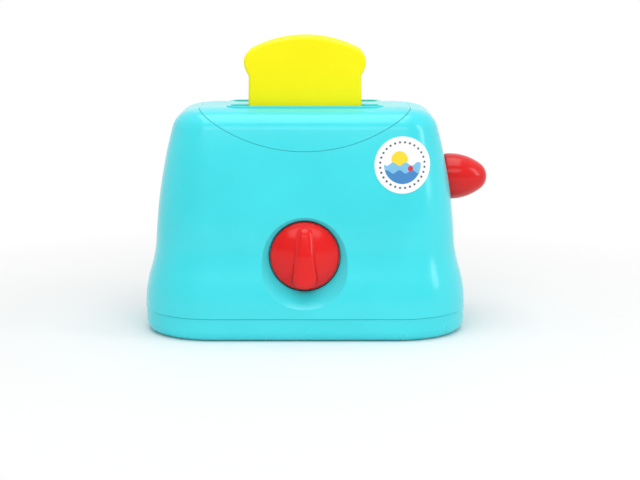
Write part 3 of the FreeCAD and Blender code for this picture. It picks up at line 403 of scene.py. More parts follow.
def make_spring_tree():
    """A coil spring whose last turns lie flat on each other."""
    tree, start = new_tree(
        "coil_spring",
        [("Length", "Float"), ("Coil Radius", "Float"), ("Wire Radius", "Float"),
         ("Turns", "Float"), ("Flat Turns", "Float"), ("Spot", "Vector"),
         ("Finish", "Material")],
    )
    value = start.outputs
    coil = joined(
        tree, "GeometryNodeCurveSpiral",
        {"Rotations": value["Turns"], "Start Radius": value["Coil Radius"],
         "End Radius": value["Coil Radius"]},
        {"Resolution": 20, "Height": 0.0},
    )
    way = joined(tree, "GeometryNodeSplineParameter").outputs["Factor"]

    def rise(start_way, end_way, height):
        node = joined(tree, "ShaderNodeMapRange", {"Value": way, "To Max": height})
        for label, item in (("From Min", start_way), ("From Max", end_way)):
            set_or_link(tree, node.inputs[label], item)
        return node.outputs[0]

    share = math_node(tree, "DIVIDE", value["Flat Turns"], value["Turns"])
    rest = math_node(tree, "SUBTRACT", 1.0, share)
    wire = math_node(tree, "MULTIPLY", value["Wire Radius"], 2.0)
    flat = math_node(tree, "MULTIPLY", wire, value["Flat Turns"])
    open_length = math_node(tree, "SUBTRACT", value["Length"], wire)
    both_flat = math_node(tree, "MULTIPLY", flat, 2.0)
    middle = math_node(tree, "SUBTRACT", open_length, both_flat)
    foot_part = math_node(tree, "ADD", rise(0.0, share, flat), rise(share, rest, middle))
    height = math_node(tree, "ADD", foot_part, rise(rest, 1.0, flat))
    lifted = math_node(tree, "ADD", height, value["Wire Radius"])
    offset = joined(tree, "ShaderNodeCombineXYZ", {"Z": lifted})
    place = joined(
        tree, "ShaderNodeVectorMath",
        {0: offset.outputs[0], 1: value["Spot"]}, operation="ADD",
    )
    raised = joined(
        tree, "GeometryNodeSetPosition",
        {"Geometry": coil.outputs[0], "Offset": place.outputs[0]},
    )
    section = joined(
        tree, "GeometryNodeCurvePrimitiveCircle", {"Radius": value["Wire Radius"]},
        {"Resolution": 10},
    )
    wire_mesh = joined(
        tree, "GeometryNodeCurveToMesh",
        {"Curve": raised.outputs[0], "Profile Curve": section.outputs[0]},
        {"Fill Caps": True},
    )
    smooth = joined(tree, "GeometryNodeSetShadeSmooth", {"Geometry": wire_mesh.outputs[0]})
    end_tree(tree, start, smooth.outputs[0])
    return tree


def make_screw_tree():
    """Sets one screw on each of the given spots."""
    tree, start = new_tree(
        "screws_on_spots",
        [("Screw", "Object"), ("Turn", "Vector"), ("Finish", "Material")],
    )
    one = joined(tree, "GeometryNodeObjectInfo", {"Object": start.outputs["Screw"]})
    spots = joined(
        tree, "GeometryNodeInstanceOnPoints",
        {"Points": start.outputs["Geometry"], "Instance": one.outputs["Geometry"],
         "Rotation": start.outputs["Turn"]},
    )
    end_tree(tree, start, spots.outputs[0])
    return tree


# Finishes


def new_finish(name):
    finish = bpy.data.materials.new(name)
    finish.use_nodes = True
    tree = finish.node_tree
    return finish, tree, tree.nodes["Principled BSDF"]


def linear(colour):
    """A colour written in screen values from 0 to 255, as the shader takes it."""
    out = []
    for c in colour:
        c = c / 255
        out.append(c / 12.92 if c <= 0.04045 else ((c + 0.055) / 1.055) ** 2.4)
    return (*out, 1.0)


def noise(tree, place, scale, detail=2.0, roughness=0.5, distortion=0.0):
    node = joined(
        tree, "ShaderNodeTexNoise", {"Vector": place},
        {"Scale": scale, "Detail": detail, "Roughness": roughness, "Distortion": distortion},
    )
    return node.outputs["Fac"]


def between(tree, value, low, high, to_low, to_high):
    node = joined(
        tree, "ShaderNodeMapRange", {"Value": value},
        {"From Min": low, "From Max": high, "To Min": to_low, "To Max": to_high},
    )
    return node.outputs[0]


def mixed(tree, share, first, second):
    """A blend of two colours, each a colour or a socket."""
    node = joined(tree, "ShaderNodeMix", data_type="RGBA")
    sockets = {s.identifier: s for s in node.inputs}
    for key, item in (("Factor_Float", share), ("A_Color", first), ("B_Color", second)):
        set_or_link(tree, sockets[key], item)
    return {s.identifier: s for s in node.outputs}["Result_Color"]


def bump(tree, height, distance, under=None):
    """A relief as deep as the distance in millimetres, laid over another one."""
    links = {"Height": height}
    if under is not None:
        links["Normal"] = under
    node = joined(tree, "ShaderNodeBump", links, {"Strength": 1.0, "Distance": distance * MM})
    return node.outputs["Normal"]


def own_place(tree, centre=(0, 0, 0), stretch=(1, 1, 1)):
    """The piece's own coordinates in metres about a centre given in millimetres."""
    texture = joined(tree, "ShaderNodeTexCoord")
    mapping = joined(tree, "ShaderNodeMapping", {"Vector": texture.outputs["Object"]})
    mapping.inputs["Location"].default_value = [-c * MM * s for c, s in zip(centre, stretch)]
    mapping.inputs["Scale"].default_value = stretch
    return mapping.outputs[0]


def moulded_plastic(name, colour, gloss=0.2, cloud=0.03, ripple=0.012, grain=0.0012,
                    specular=0.5, centre=(0, 0, 0), edge=0.0):
    """Glossy moulded plastic: clouded pigment, faint ripple, fine skin and handling marks."""
    finish, tree, shader = new_finish(name)
    place = own_place(tree, centre)
    base = linear(colour)
    dark = tuple(c * (1 - cloud) for c in base[:3]) + (1.0,)
    pale = tuple(min(1.0, c * (1 + cloud) + cloud * 0.12) for c in base[:3]) + (1.0,)
    clouding = between(tree, noise(tree, place, 24.0, 3.0), 0.3, 0.7, 0.0, 1.0)
    pigment = mixed(tree, clouding, dark, pale)
    tree.links.new(pigment, shader.inputs["Base Color"])
    handling = noise(tree, place, 60.0, 5.0, 0.62, 0.4)
    streaks = noise(tree, own_place(tree, centre, (900, 60, 240)), 1.0, 2.0)
    dull = math_node(
        tree, "ADD", between(tree, handling, 0.35, 0.7, gloss - 0.02, gloss + 0.05),
        between(tree, streaks, 0.62, 0.78, 0.0, 0.02),
    )
    tree.links.new(dull, shader.inputs["Roughness"])
    skin = bump(tree, noise(tree, place, 240.0, 1.0), ripple)
    skin = bump(tree, noise(tree, place, 2600.0, 2.0), grain, skin)
    if edge:
        soft = joined(tree, "ShaderNodeBevel", {"Normal": skin}, {"Radius": edge * MM}, samples=4)
        skin = soft.outputs[0]
    tree.links.new(skin, shader.inputs["Normal"])
    shader.inputs["IOR"].default_value = 1.54
    shader.inputs["Specular IOR Level"].default_value = specular
    return finish


def bare_metal(name, colour, gloss, turning):
    """Drawn or turned steel with fine lines; turning gives how the lines are stretched."""
    finish, tree, shader = new_finish(name)
    lines = noise(tree, own_place(tree, (0, 0, 0), turning), 1.0, 3.0, 0.6)
    stain = noise(tree, own_place(tree), 150.0, 3.0)
    base = linear(colour)
    dark = tuple(c * 0.78 for c in base[:3]) + (1.0,)
    tree.links.new(mixed(tree, between(tree, stain, 0.3, 0.7, 0.0, 1.0), dark, base),
                   shader.inputs["Base Color"])
    tree.links.new(between(tree, lines, 0.3, 0.7, gloss - 0.06, gloss + 0.1),
                   shader.inputs["Roughness"])
    tree.links.new(bump(tree, lines, 0.004), shader.inputs["Normal"])
    shader.inputs["Metallic"].default_value = 1.0
    return finish


def rubber(name, colour):
    """Soft black-grey rubber with a matt, finely pitted skin."""
    finish, tree, shader = new_finish(name)
    place = own_place(tree)
    base = linear(colour)
    dusty = tuple(c * 1.25 + 0.01 for c in base[:3]) + (1.0,)
    tree.links.new(mixed(tree, between(tree, noise(tree, place, 180.0, 4.0), 0.35, 0.7, 0.0, 1.0),
                         base, dusty), shader.inputs["Base Color"])
    tree.links.new(between(tree, noise(tree, place, 400.0, 3.0), 0.3, 0.7, 0.62, 0.8),
                   shader.inputs["Roughness"])
    tree.links.new(bump(tree, noise(tree, place, 1500.0, 3.0), 0.02), shader.inputs["Normal"])
    return finish


def printed_vinyl(name):
    """White vinyl with a plain print: a dotted ring, a sun and waves."""
    finish, tree, shader = new_finish(name)
    spot = joined(
        tree, "ShaderNodeSeparateXYZ", {"Vector": own_place(tree, (LABEL_X, 0, LABEL_Z), (1000,) * 3)}
    )
    u, v = spot.outputs["X"], spot.outputs["Z"]

    def m(operation, *items):
        return math_node(tree, operation, *items)

    def disc(x, z, radius):
        away = m("SQRT", m("ADD", m("POWER", m("SUBTRACT", u, x), 2.0),
                           m("POWER", m("SUBTRACT", v, z), 2.0)))
        return between(tree, m("SUBTRACT", away, radius), -0.08, 0.08, 1.0, 0.0)

    def over(lower, share, colour):
        return mixed(tree, share, lower, linear(colour))

    away = m("SQRT", m("ADD", m("MULTIPLY", u, u), m("MULTIPLY", v, v)))
    fibre = noise(tree, own_place(tree), 900.0, 2.0)
    paper = mixed(tree, fibre, linear((238, 238, 240)), linear((247, 247, 248)))
    # the dotted ring
    count, ring = 28.0, 12.4
    turn = m("MULTIPLY", m("ARCTAN2", v, u), count / (2 * math.pi))
    along = m("MULTIPLY", m("SUBTRACT", m("FRACT", turn), 0.5), 2 * math.pi * ring / count)
    dot = m("SQRT", m("ADD", m("POWER", along, 2.0), m("POWER", m("SUBTRACT", away, ring), 2.0)))
    look = over(paper, between(tree, m("SUBTRACT", dot, 0.62), -0.08, 0.08, 1.0, 0.0), (74, 82, 92))
    # the sun and the two waves within the ring
    look = over(look, disc(-1.6, 3.0, 4.6), (247, 214, 36))
    within = between(tree, m("SUBTRACT", away, 10.2), -0.08, 0.08, 1.0, 0.0)
    for level, swing, colour in ((0.6, 0.9, (122, 190, 226)), (-3.6, -0.9, (62, 134, 196))):
        crest = m("ADD", m("MULTIPLY", m("SINE", m("MULTIPLY", u, 0.9)), swing), level)
        below = between(tree, m("SUBTRACT", v, crest), -0.08, 0.08, 1.0, 0.0)
        look = over(look, m("MULTIPLY", below, within), colour)
    look = over(look, disc(4.4, -1.9, 1.5), (214, 44, 48))
    tree.links.new(look, shader.inputs["Base Color"])
    tree.links.new(between(tree, fibre, 0.3, 0.7, 0.34, 0.44), shader.inputs["Roughness"])
    tree.links.new(bump(tree, fibre, 0.004), shader.inputs["Normal"])
    return finish


# The housing's outer form


def side_points(inward=0.0, step=2.0):
    """Points (inset, height) from the band to the crown, set inward of the surface."""
    points = []
    inset, z = 0.0, BAND_TOP
    ends = [lean for lean, _, _ in SIDE_ARCS[1:]] + [CROWN_LEAN]
    for (start, radius, bulge), end in zip(SIDE_ARCS, ends):
        a, b = math.radians(start), math.radians(end)
        count = 24 if radius > 200 else max(4, int(abs(end - start) / step))
        for k in range(0 if not points else 1, count + 1):
            t = a + (b - a) * k / count
            x = inset + radius * (math.cos(a) - math.cos(t)) * bulge
            y = z + radius * (math.sin(t) - math.sin(a)) * bulge
            points.append((x + inward * math.cos(t), y - inward * math.sin(t)))
        inset += radius * (math.cos(a) - math.cos(b)) * bulge
        z += radius * (math.sin(b) - math.sin(a)) * bulge
    return points


TOP = side_points()[-1][1]


def swept_solid(name, profile, width, depth, corner, steps=20, centre_y=0.0):
    """A closed solid: a profile of (inset, height) swept round a rounded rectangle."""
    points = [(-inset, -height, 0) for inset, height in profile]
    edges = [(i, i + 1) for i in range(len(points) - 1)]
    piece = new_object(name, points, [], edges)
    grow(piece, SWEEP, {
        "Width": width * MM, "Depth": depth * MM, "Corner": corner * MM,
        "Corner Steps": steps, "Finish": FINISHES["body"],
    })
    piece.data.transform(Matrix.Translation((0, centre_y * MM, 0)))
    return close_up(piece, fill=True)


def bell_solid(name, inward, bottom):
    """The housing's whole outer form, or the same form set inward."""
    lower = [(inward, bottom + (BAND_TOP - bottom) * k / 4) for k in range(4)]
    return swept_solid(name, lower + side_points(inward), BODY_WIDTH, BODY_DEPTH, CORNER)


def front_y(z):
    """The y of the housing's front wall at a height above the band."""
    profile = side_points()
    for (i0, z0), (i1, z1) in zip(profile, profile[1:]):
        if z0 <= z <= z1:
            return i0 + (i1 - i0) * (z - z0) / (z1 - z0) - HALF_DEPTH
    return -HALF_DEPTH


def seam_bar(name, spare):
    """The large cylinder along whose side the cover and the shell part."""
    z = TOP - SEAM_DROP + SEAM_RADIUS
    radius = SEAM_RADIUS + spare
    return lathe(name, [(radius, -CLEAR_FRONT), (radius, CLEAR_FRONT)],
                 lambda a, b, way: (a, way, z + b), 360)


def dial_spot(a, b, way):
    """A point by its place across the dial's axis and its distance toward the front."""
    return (a, -way, DIAL_Z + b)


def screw_corners():
    """The four spots of the base screws, on the diagonals of the plan's corners."""
    out = SCREW_REACH / math.sqrt(2)
    x, y = HALF_WIDTH - CORNER + out, HALF_DEPTH - CORNER + out
    return [(-x, -y), (x, -y), (x, y), (-x, y)]


def make_track_cut():
    half, low, r = TRACK_WIDTH / 2, TRACK_BOTTOM, TRACK_ROUND
    outline = arc(half - r, low + r, r, 270, 360, 8)
    outline += [(half, CLEAR_ABOVE), (-half, CLEAR_ABOVE)]
    outline += arc(-half + r, low + r, r, 180, 270, 8)
    rings = [[(x, y, z) for y, z in outline] for x in (TRACK_FLOOR, CLEAR_SIDE)]
    return capped_rings("track_cut", rings)


def make_body_shell():
    """The shell with the dial's dished well, the lever's track and four screw bosses."""
    slope = math.tan(math.radians(DISH_ANGLE))
    run = HALF_DEPTH - WELL_LIP
    backing = WALL / math.cos(math.radians(DISH_ANGLE))
    inside = bell_solid("inside", WALL, SHELL_BOTTOM - 2)
    far = WELL_LIP + run + 2
    dish_back = lathe("dish_back", [
        (WELL_RADIUS + WALL, WELL_FLOOR - WELL_PLATE),
        (WELL_RADIUS + WALL, WELL_LIP - 0.6),
        (WELL_RADIUS + backing + (run + 2) * slope, far),
    ], dial_spot, 144)
    combine(inside, dish_back, "DIFFERENCE")
    half = TRACK_WIDTH / 2 + WALL
    track_back = box_solid(
        "track_back", TRACK_FLOOR - WALL, CLEAR_SIDE, -half, half, TRACK_BOTTOM - WALL,
        TRACK_BACK_TOP,
    )
    combine(inside, track_back, "DIFFERENCE")
    shell = bell_solid("toaster_body", 0.0, SHELL_BOTTOM)
    combine(shell, inside, "DIFFERENCE")
    combine(shell, seam_bar("seam_cut", SEAM_GAP / 2), "DIFFERENCE")
    dish = lathe("dish", [
        (WELL_RADIUS, WELL_FLOOR),
        (WELL_RADIUS, WELL_LIP),
        (WELL_RADIUS + (run + 3) * slope, WELL_LIP + run + 3),
    ], dial_spot, 144)
    combine(shell, dish, "DIFFERENCE")
    combine(shell, make_track_cut(), "DIFFERENCE")
    slot = box_solid(
        "track_slot", TRACK_FLOOR - 8, TRACK_FLOOR + 2, -TRACK_SLOT / 2, TRACK_SLOT / 2,
        TRACK_SLOT_LOW, TRACK_SLOT_HIGH,
    )
    combine(shell, slot, "DIFFERENCE")
    for x, y in screw_corners():
        boss = lathe("boss", [(BOSS_RADIUS, SHELL_BOTTOM), (BOSS_RADIUS, BOSS_TOP)],
                     lambda a, b, way: (x + a, y + b, way), 32)
        combine(shell, boss, "UNION")
        hole = lathe("boss_hole", [(SHANK_HOLE, SHELL_BOTTOM - 1), (SHANK_HOLE, BOSS_TOP - 2)],
                     lambda a, b, way: (x + a, y + b, way), 24)
        combine(shell, hole, "DIFFERENCE")
    return finish_edges(shell)


def make_top_cover():
    """The cover above the seam, with its raised rim and its two slots."""
    high = TOP + RIM_HEIGHT
    cover = bell_solid("toaster_cover", 0.0, SHELL_BOTTOM)
    edge = RIM_HEIGHT / 2
    rim_side = [(0, TOP - 5)] + [(edge - x, high - edge + z) for x, z in arc(0, 0, edge, 0, 90, 6)]
    rim = swept_solid(
        "rim", rim_side, SLOT_LENGTH + RIM_MARGIN * 2,
        SLOT_PITCH + SLOT_WIDTH + RIM_MARGIN * 2, RIM_CORNER, 12,
    )
    combine(cover, rim, "UNION")
    combine(cover, bell_solid("cover_inside", WALL, SHELL_BOTTOM - 2), "DIFFERENCE")
    combine(cover, seam_bar("cover_edge", -SEAM_GAP / 2), "INTERSECT")
    lead_in = [(0, TOP - 20), (0, high - 0.7)]
    lead_in += [(-0.7 + x, high - 0.7 + z) for x, z in arc(0, 0, 0.7, 0, 90, 5)[1:]]
    lead_in += [(-0.75, high + 5)]
    for y in (-SLOT_PITCH / 2, SLOT_PITCH / 2):
        slot = swept_solid(
            "slot_cutter", lead_in, SLOT_LENGTH, SLOT_WIDTH, SLOT_WIDTH / 2 - 0.5, 12, y
        )
        combine(cover, slot, "DIFFERENCE")
    return finish_edges(cover)


def make_base_pan():
    """The tray under the shell, with screw posts, rod posts and seats for the feet."""
    width, depth = BODY_WIDTH - PAN_INSET * 2, BODY_DEPTH - PAN_INSET * 2
    corner = CORNER - PAN_INSET
    side = [(PAN_ROUND - x, PAN_ROUND + z) for x, z in arc(0, 0, PAN_ROUND, 270, 360, 14)]
    side += [(0, PAN_EDGE - 0.3), (0.09, PAN_EDGE - 0.09), (0.3, PAN_EDGE)]
    pan = swept_solid("base_tray", side, width, depth, corner)
    hollow = swept_solid(
        "tray_hollow", [(0, PAN_FLOOR), (0, PAN_EDGE + 2)],
        width - PAN_WALL * 2, depth - PAN_WALL * 2, corner - PAN_WALL,
    )
    combine(pan, hollow, "DIFFERENCE")
    for x, y in screw_corners():
        post = lathe("screw_post", [(POST_RADIUS, 1.0), (POST_RADIUS, PAN_EDGE)],
                     lambda a, b, way: (x + a, y + b, way), 36)
        combine(pan, post, "UNION")
        hole = lathe("screw_hole", [(HEAD_HOLE, -1), (HEAD_HOLE, PAN_SCREW_Z),
                                    (SHANK_HOLE, PAN_SCREW_Z), (SHANK_HOLE, PAN_EDGE + 1)],
                     lambda a, b, way: (x + a, y + b, way), 36)
        combine(pan, hole, "DIFFERENCE")
    for x in (-FOOT_X, FOOT_X):
        for y in (-FOOT_Y, FOOT_Y):
            radius = FOOT_RADIUS + SEAT_GAP
            seat = lathe("foot_seat", [(radius, -1), (radius, FOOT_HEIGHT),
                                       (STEM_HOLE, FOOT_HEIGHT), (STEM_HOLE, PAN_FLOOR + 1)],
                         lambda a, b, way: (x + a, y + b, way), 48)
            combine(pan, seat, "DIFFERENCE")
    for y in (-SPRING_Y, SPRING_Y):
        post = lathe("rod_post", [(ROD_POST_RADIUS, 1.0), (ROD_POST_RADIUS, SPRING_LOW)],
                     lambda a, b, way: (SPRING_X + a, y + b, way), 36)
        combine(pan, post, "UNION")
        hole = lathe("rod_hole", [(ROD_HOLE, PAN_FLOOR), (ROD_HOLE, SPRING_LOW + 1)],
                     lambda a, b, way: (SPRING_X + a, y + b, way), 24)
        combine(pan, hole, "DIFFERENCE")
    return finish_edges(pan)


# Slices of play toast


def slice_outline():
    """Points up the right side of a slice, from its foot to the middle of its top."""
    foot, waist, ears = SLICE_FOOT / 2, SLICE_WAIST / 2, SLICE_EARS / 2
    ear_z, waist_z = SLICE_HEIGHT - EAR_DROP, SLICE_HEIGHT - WAIST_DROP
    ear_in = ears - EAR_ROUND
    dome = (ear_in**2 + EAR_DROP**2 - EAR_ROUND**2) / (2 * (EAR_DROP - EAR_ROUND))
    run, rise = ears - waist, ear_z - waist_z
    both = (run**2 + rise**2) / (2 * run)
    hollow, cheek = both * NECK_SHARE, both * (1 - NECK_SHARE)
    turn = math.degrees(math.asin(rise / both))
    points = arc(foot - FOOT_ROUND, FOOT_ROUND, FOOT_ROUND, 270, 360, 12)
    for k in range(1, 16):
        t = k / 16
        z = FOOT_ROUND + (waist_z - FOOT_ROUND) * t
        points.append((foot + (waist - foot) * t, z))
    points += arc(waist + hollow, waist_z, hollow, 180, 180 - turn, 5)
    points += arc(ears - cheek, ear_z, cheek, -turn, 0, 10)[1:]
    lean = math.degrees(math.atan2(dome - EAR_DROP, ear_in))
    points += arc(ear_in, ear_z, EAR_ROUND, 0, lean, 14)[1:]
    points += arc(0, SLICE_HEIGHT - dome, dome, lean, 90, 18)[1:]
    return points


def inset_outline(points, inset):
    """The closed outline moved inward by an even distance."""
    moved = []
    count = len(points)
    for i, (x, z) in enumerate(points):
        px, pz = points[i - 1]
        nx, nz = points[(i + 1) % count]
        tx, tz = nx - px, nz - pz
        length = math.hypot(tx, tz)
        moved.append((x - tz / length * inset, z + tx / length * inset))
    return moved


def make_slice(name, y):
    """A slice of play toast with rounded edges, at a distance behind the middle."""
    right = slice_outline()
    whole = right + [(-x, z) for x, z in reversed(right[:-1])]
    half, edge = SLICE_THICKNESS / 2, SLICE_EDGE
    rounding = arc(0, 0, edge, 90, 0, 8)
    levels = [(edge * 3, -half), (edge * 2, -half)]
    levels += [(edge - x, -half + edge - z) for x, z in rounding]
    levels += [(edge - x, half - edge + z) for x, z in reversed(rounding)]
    levels += [(edge * 2, half), (edge * 3, half)]
    rings = []
    for inset, depth in levels:
        ring = inset_outline(whole, inset)
        rings.append([(x, y + depth, SLICE_BASE + z) for x, z in ring])
    return finish_edges(capped_rings(name, rings), 40)


# Dial knob


def soft_higher(a, b, blend):
    """The higher of two heights, with a soft fillet where they meet."""
    h = max(blend - abs(a - b), 0.0) / blend
    return max(a, b) + h * h * blend * 0.25


def grip_distance(x, z):
    """Distance outside the drop-shaped outline of the grip, negative within it."""
    low_z, top_z = -GRIP_BOTTOM + GRIP_LOW_RADIUS, GRIP_TOP - GRIP_TOP_RADIUS
    length = top_z - low_z
    lean = (GRIP_LOW_RADIUS - GRIP_TOP_RADIUS) / length
    flat = math.sqrt(1 - lean * lean)
    px, pz = abs(x), z - low_z
    along = pz * flat - px * lean
    if along < 0:
        return math.hypot(px, pz) - GRIP_LOW_RADIUS
    if along > length * flat:
        return math.hypot(px, pz - length) - GRIP_TOP_RADIUS
    return px * flat + pz * lean - GRIP_LOW_RADIUS


def dial_height(x, z):
    """The height of the dial's face over its back, at a place across its axis."""
    inner, rise = DIAL_RADIUS - DIAL_EDGE, DIAL_DOME - DIAL_RIM
    radius = (inner**2 + rise**2) / (2 * rise)
    dome = DIAL_DOME - radius + math.sqrt(radius**2 - x**2 - z**2)
    away = grip_distance(x, z)
    up = max(z + GRIP_SLOPE_LENGTH - GRIP_TOP, 0.0)
    crest = GRIP_HEIGHT - GRIP_SLOPE * up**2 / (up + GRIP_SLOPE_LENGTH / 3)
    if away > 0:
        grip = crest - GRIP_FALL - away * 5.0
    else:
        share = max(1 + away / GRIP_ROUND, 0.0)
        grip = crest - GRIP_FALL * (1 - math.sqrt(1 - share**2))
    return soft_higher(dome, grip, 1.5)


def make_dial_knob():
    """The dial: a domed disc with a drop-shaped grip across it."""
    steps, rows = 240, 110
    inner = DIAL_RADIUS - DIAL_EDGE
    side = [(DIAL_RADIUS - 0.5, 0.0), (DIAL_RADIUS - 0.15, 0.15), (DIAL_RADIUS, 0.5),
            (DIAL_RADIUS, 3.2)]
    side += arc(inner, DIAL_RIM - DIAL_EDGE, DIAL_EDGE, 0, 90, 6)
    turns = [2 * math.pi * i / steps for i in range(steps)]
    rings = []
    for radius, height in side:
        rings.append([dial_spot(radius * math.cos(t), radius * math.sin(t), DIAL_BACK + height)
                      for t in turns])
    for row in range(1, rows):
        radius = inner * (1 - row / rows)
        ring = []
        for t in turns:
            x, z = radius * math.cos(t), radius * math.sin(t)
            ring.append(dial_spot(x, z, DIAL_BACK + dial_height(x, z)))
        rings.append(ring)
    knob = capped_rings("dial", rings)
    return finish_edges(knob, 40)


# Lever knob


def make_lever_knob():
    """A bullet turned about the lever's axis."""
    flank = math.radians(LEVER_FLANK)
    join_x = LEVER_TIP - LEVER_TIP_RADIUS + LEVER_TIP_RADIUS * math.sin(flank)
    join_r = LEVER_TIP_RADIUS * math.cos(flank)
    radius = (LEVER_RADIUS - join_r) / (1 - math.cos(flank))
    shoulder = join_x - radius * math.sin(flank)
    back = LEVER_BACK + LEVER_BACK_ROUND
    profile = arc(back, LEVER_RADIUS - LEVER_BACK_ROUND, LEVER_BACK_ROUND, 180, 90, 8)
    profile += arc(shoulder, LEVER_RADIUS - radius, radius, 90, 90 - LEVER_FLANK, 20)
    profile += arc(LEVER_TIP - LEVER_TIP_RADIUS, 0, LEVER_TIP_RADIUS, 90 - LEVER_FLANK, 1.0, 20)[1:]
    knob = lathe("lever_grip", [(r, x) for x, r in profile],
                 lambda a, b, way: (way, a, LEVER_Z + b), 96)
    low = LEVER_Z - LEVER_RADIUS
    hole = lathe("knob_hole", [(HEAD_HOLE, low - 2), (HEAD_HOLE, low + 2.8),
                               (SHANK_HOLE, low + 2.8), (SHANK_HOLE, low + 7)],
                 lambda a, b, way: (KNOB_SCREW_X + a, b, way), 48)
    combine(knob, hole, "DIFFERENCE")
    return finish_edges(knob)


# Round label


def label_point(x, z, lift):
    """A point on the housing's curved front, lifted off it."""
    inset = HALF_DEPTH + front_y(z)
    corner_x, corner_y = HALF_WIDTH - CORNER, HALF_DEPTH - CORNER
    if x <= corner_x:
        return (x, front_y(z) - lift, z)
    radius = CORNER - inset
    dx = x - corner_x
    dy = math.sqrt(max(radius * radius - dx * dx, 0.0))
    return (x + lift * dx / radius, -(corner_y + dy) - lift * dy / radius, z)


def make_label():
    """A thin disc that lies on the curved front."""
    steps, rows = 96, 18
    rings = []
    for share, lift in [(0.97, 0.02), (1.0, 0.02), (1.0, 0.19)] + [
        (1 - k / rows, LABEL_THICKNESS * 0.9) for k in range(rows)
    ]:
        radius = max(LABEL_RADIUS * share - (0.04 if lift > 0.1 else 0), 0.3)
        turns = [2 * math.pi * i / steps for i in range(steps)]
        rings.append([
            label_point(LABEL_X + radius * math.cos(t), LABEL_Z + radius * math.sin(t), lift)
            for t in turns
        ])
    return finish_edges(capped_rings("front_label", rings), 50)


# Springs and screws


def make_spring(name, y):
    piece = new_object(name, [(0, 0, 0)], [])
    return grow(piece, COIL, {
        "Length": (SPRING_HIGH - SPRING_LOW) * MM, "Coil Radius": SPRING_COIL * MM,
        "Wire Radius": SPRING_WIRE * MM, "Turns": SPRING_TURNS, "Flat Turns": 1.25,
        "Spot": (SPRING_X * MM, y * MM, SPRING_LOW * MM), "Finish": FINISHES["spring"],
    })


def make_one_screw(length):
    """A pan-head screw with a cross recess, its shank pointing up from the origin."""
    r, h, edge = SCREW_HEAD, SCREW_HEAD_HEIGHT, 0.7
    profile = [(r - 0.9, -h), (r - 0.45, -h + 0.1), (r - 0.12, -h + 0.45), (r, -h + edge + 0.2),
               (r, -0.1), (r - 0.1, 0)]
    core, crest, pitch = SCREW_RADIUS * 0.76, SCREW_RADIUS, 0.9
    profile.append((core, 0))
    turns = max(2, int((length - 1.2) / pitch))
    for k in range(turns):
        low = 0.3 + (length - 1.4) * k / turns
        rise = (length - 1.4) / turns
        profile += [(core, low), (crest, low + rise * 0.5), (core, low + rise * 0.9)]
    profile += [(core, length - 1.0), (0.15, length)]
    screw = lathe("screw_blank", profile, lambda a, b, way: (a, b, way), 28)
    for turn in (0, 1):
        a, b = (1.7, 0.36) if turn else (0.36, 1.7)
        cross = capped_rings("cross", [
            [(-a * s, -b * s, z), (a * s, -b * s, z), (a * s, b * s, z), (-a * s, b * s, z)]
            for s, z in ((1.0, -h - 0.5), (0.55, -h + 1.1))
        ])
        combine(screw, cross, "DIFFERENCE")
    return finish_edges(screw, 35)


def make_screws(name, spots, length, turn=(0.0, 0.0, 0.0)):
    """Equal screws on the given spots."""
    blank = make_one_screw(length)
    piece = new_object(name, spots, [])
    grow(piece, SCREWS, {"Screw": blank, "Turn": turn, "Finish": FINISHES["steel"]})
    bpy.data.objects.remove(blank)
    return piece


# Finishes of all pieces

FINISHES = {
    "body": moulded_plastic("body_sky_blue_abs", (58, 218, 228), 0.2, edge=0.25, specular=0.45),
    "base": moulded_plastic("base_sky_blue_abs", (58, 218, 228), 0.24, specular=0.45,
                            centre=(40, 20, 5)),
    "red": moulded_plastic("knob_red_abs", (228, 14, 14), 0.16, cloud=0.04, specular=0.32),
    "lever_red": moulded_plastic("lever_red_abs", (216, 12, 12), 0.18, cloud=0.04, specular=0.32,
                                 centre=(90, 0, 90)),
    "toast": moulded_plastic("play_toast_yellow", (254, 240, 0), 0.33, cloud=0.03, ripple=0.02,
                             grain=0.003, specular=0.2, centre=(0, 0, 120)),
    "guide": moulded_plastic("guide_white_abs", (206, 214, 218), 0.38, cloud=0.04),
    "carriage": moulded_plastic("carriage_white_pom", (226, 228, 224), 0.34, cloud=0.03),
    "timer": moulded_plastic("timer_case_white", (214, 214, 206), 0.4, cloud=0.05),
    "latch": moulded_plastic("latch_natural_pom", (232, 230, 218), 0.32, cloud=0.03),
    "bracket": moulded_plastic("bracket_sky_blue_abs", (58, 218, 228), 0.3),
    "rods": bare_metal("guide_rod_steel", (176, 178, 180), 0.24, (2500, 2500, 40)),
    "spring": bare_metal("spring_wire_steel", (164, 166, 168), 0.28, (1200, 1200, 1200)),
    "steel": bare_metal("screw_zinc_steel", (186, 186, 182), 0.3, (1800, 1800, 300)),
    "feet": rubber("foot_grey_rubber", (66, 70, 74)),
    "label": printed_vinyl("label_printed_vinyl"),
}

SWEEP = make_sweep_tree()
COIL = make_spring_tree()
SCREWS = make_screw_tree()


def dress(piece, finish, body, node):
    """Gives a new piece its finish and its body, and hides the node that it stands for."""
    piece.data.materials.clear()
    piece.data.materials.append(FINISHES[finish])
    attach(piece, body)
    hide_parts(node)


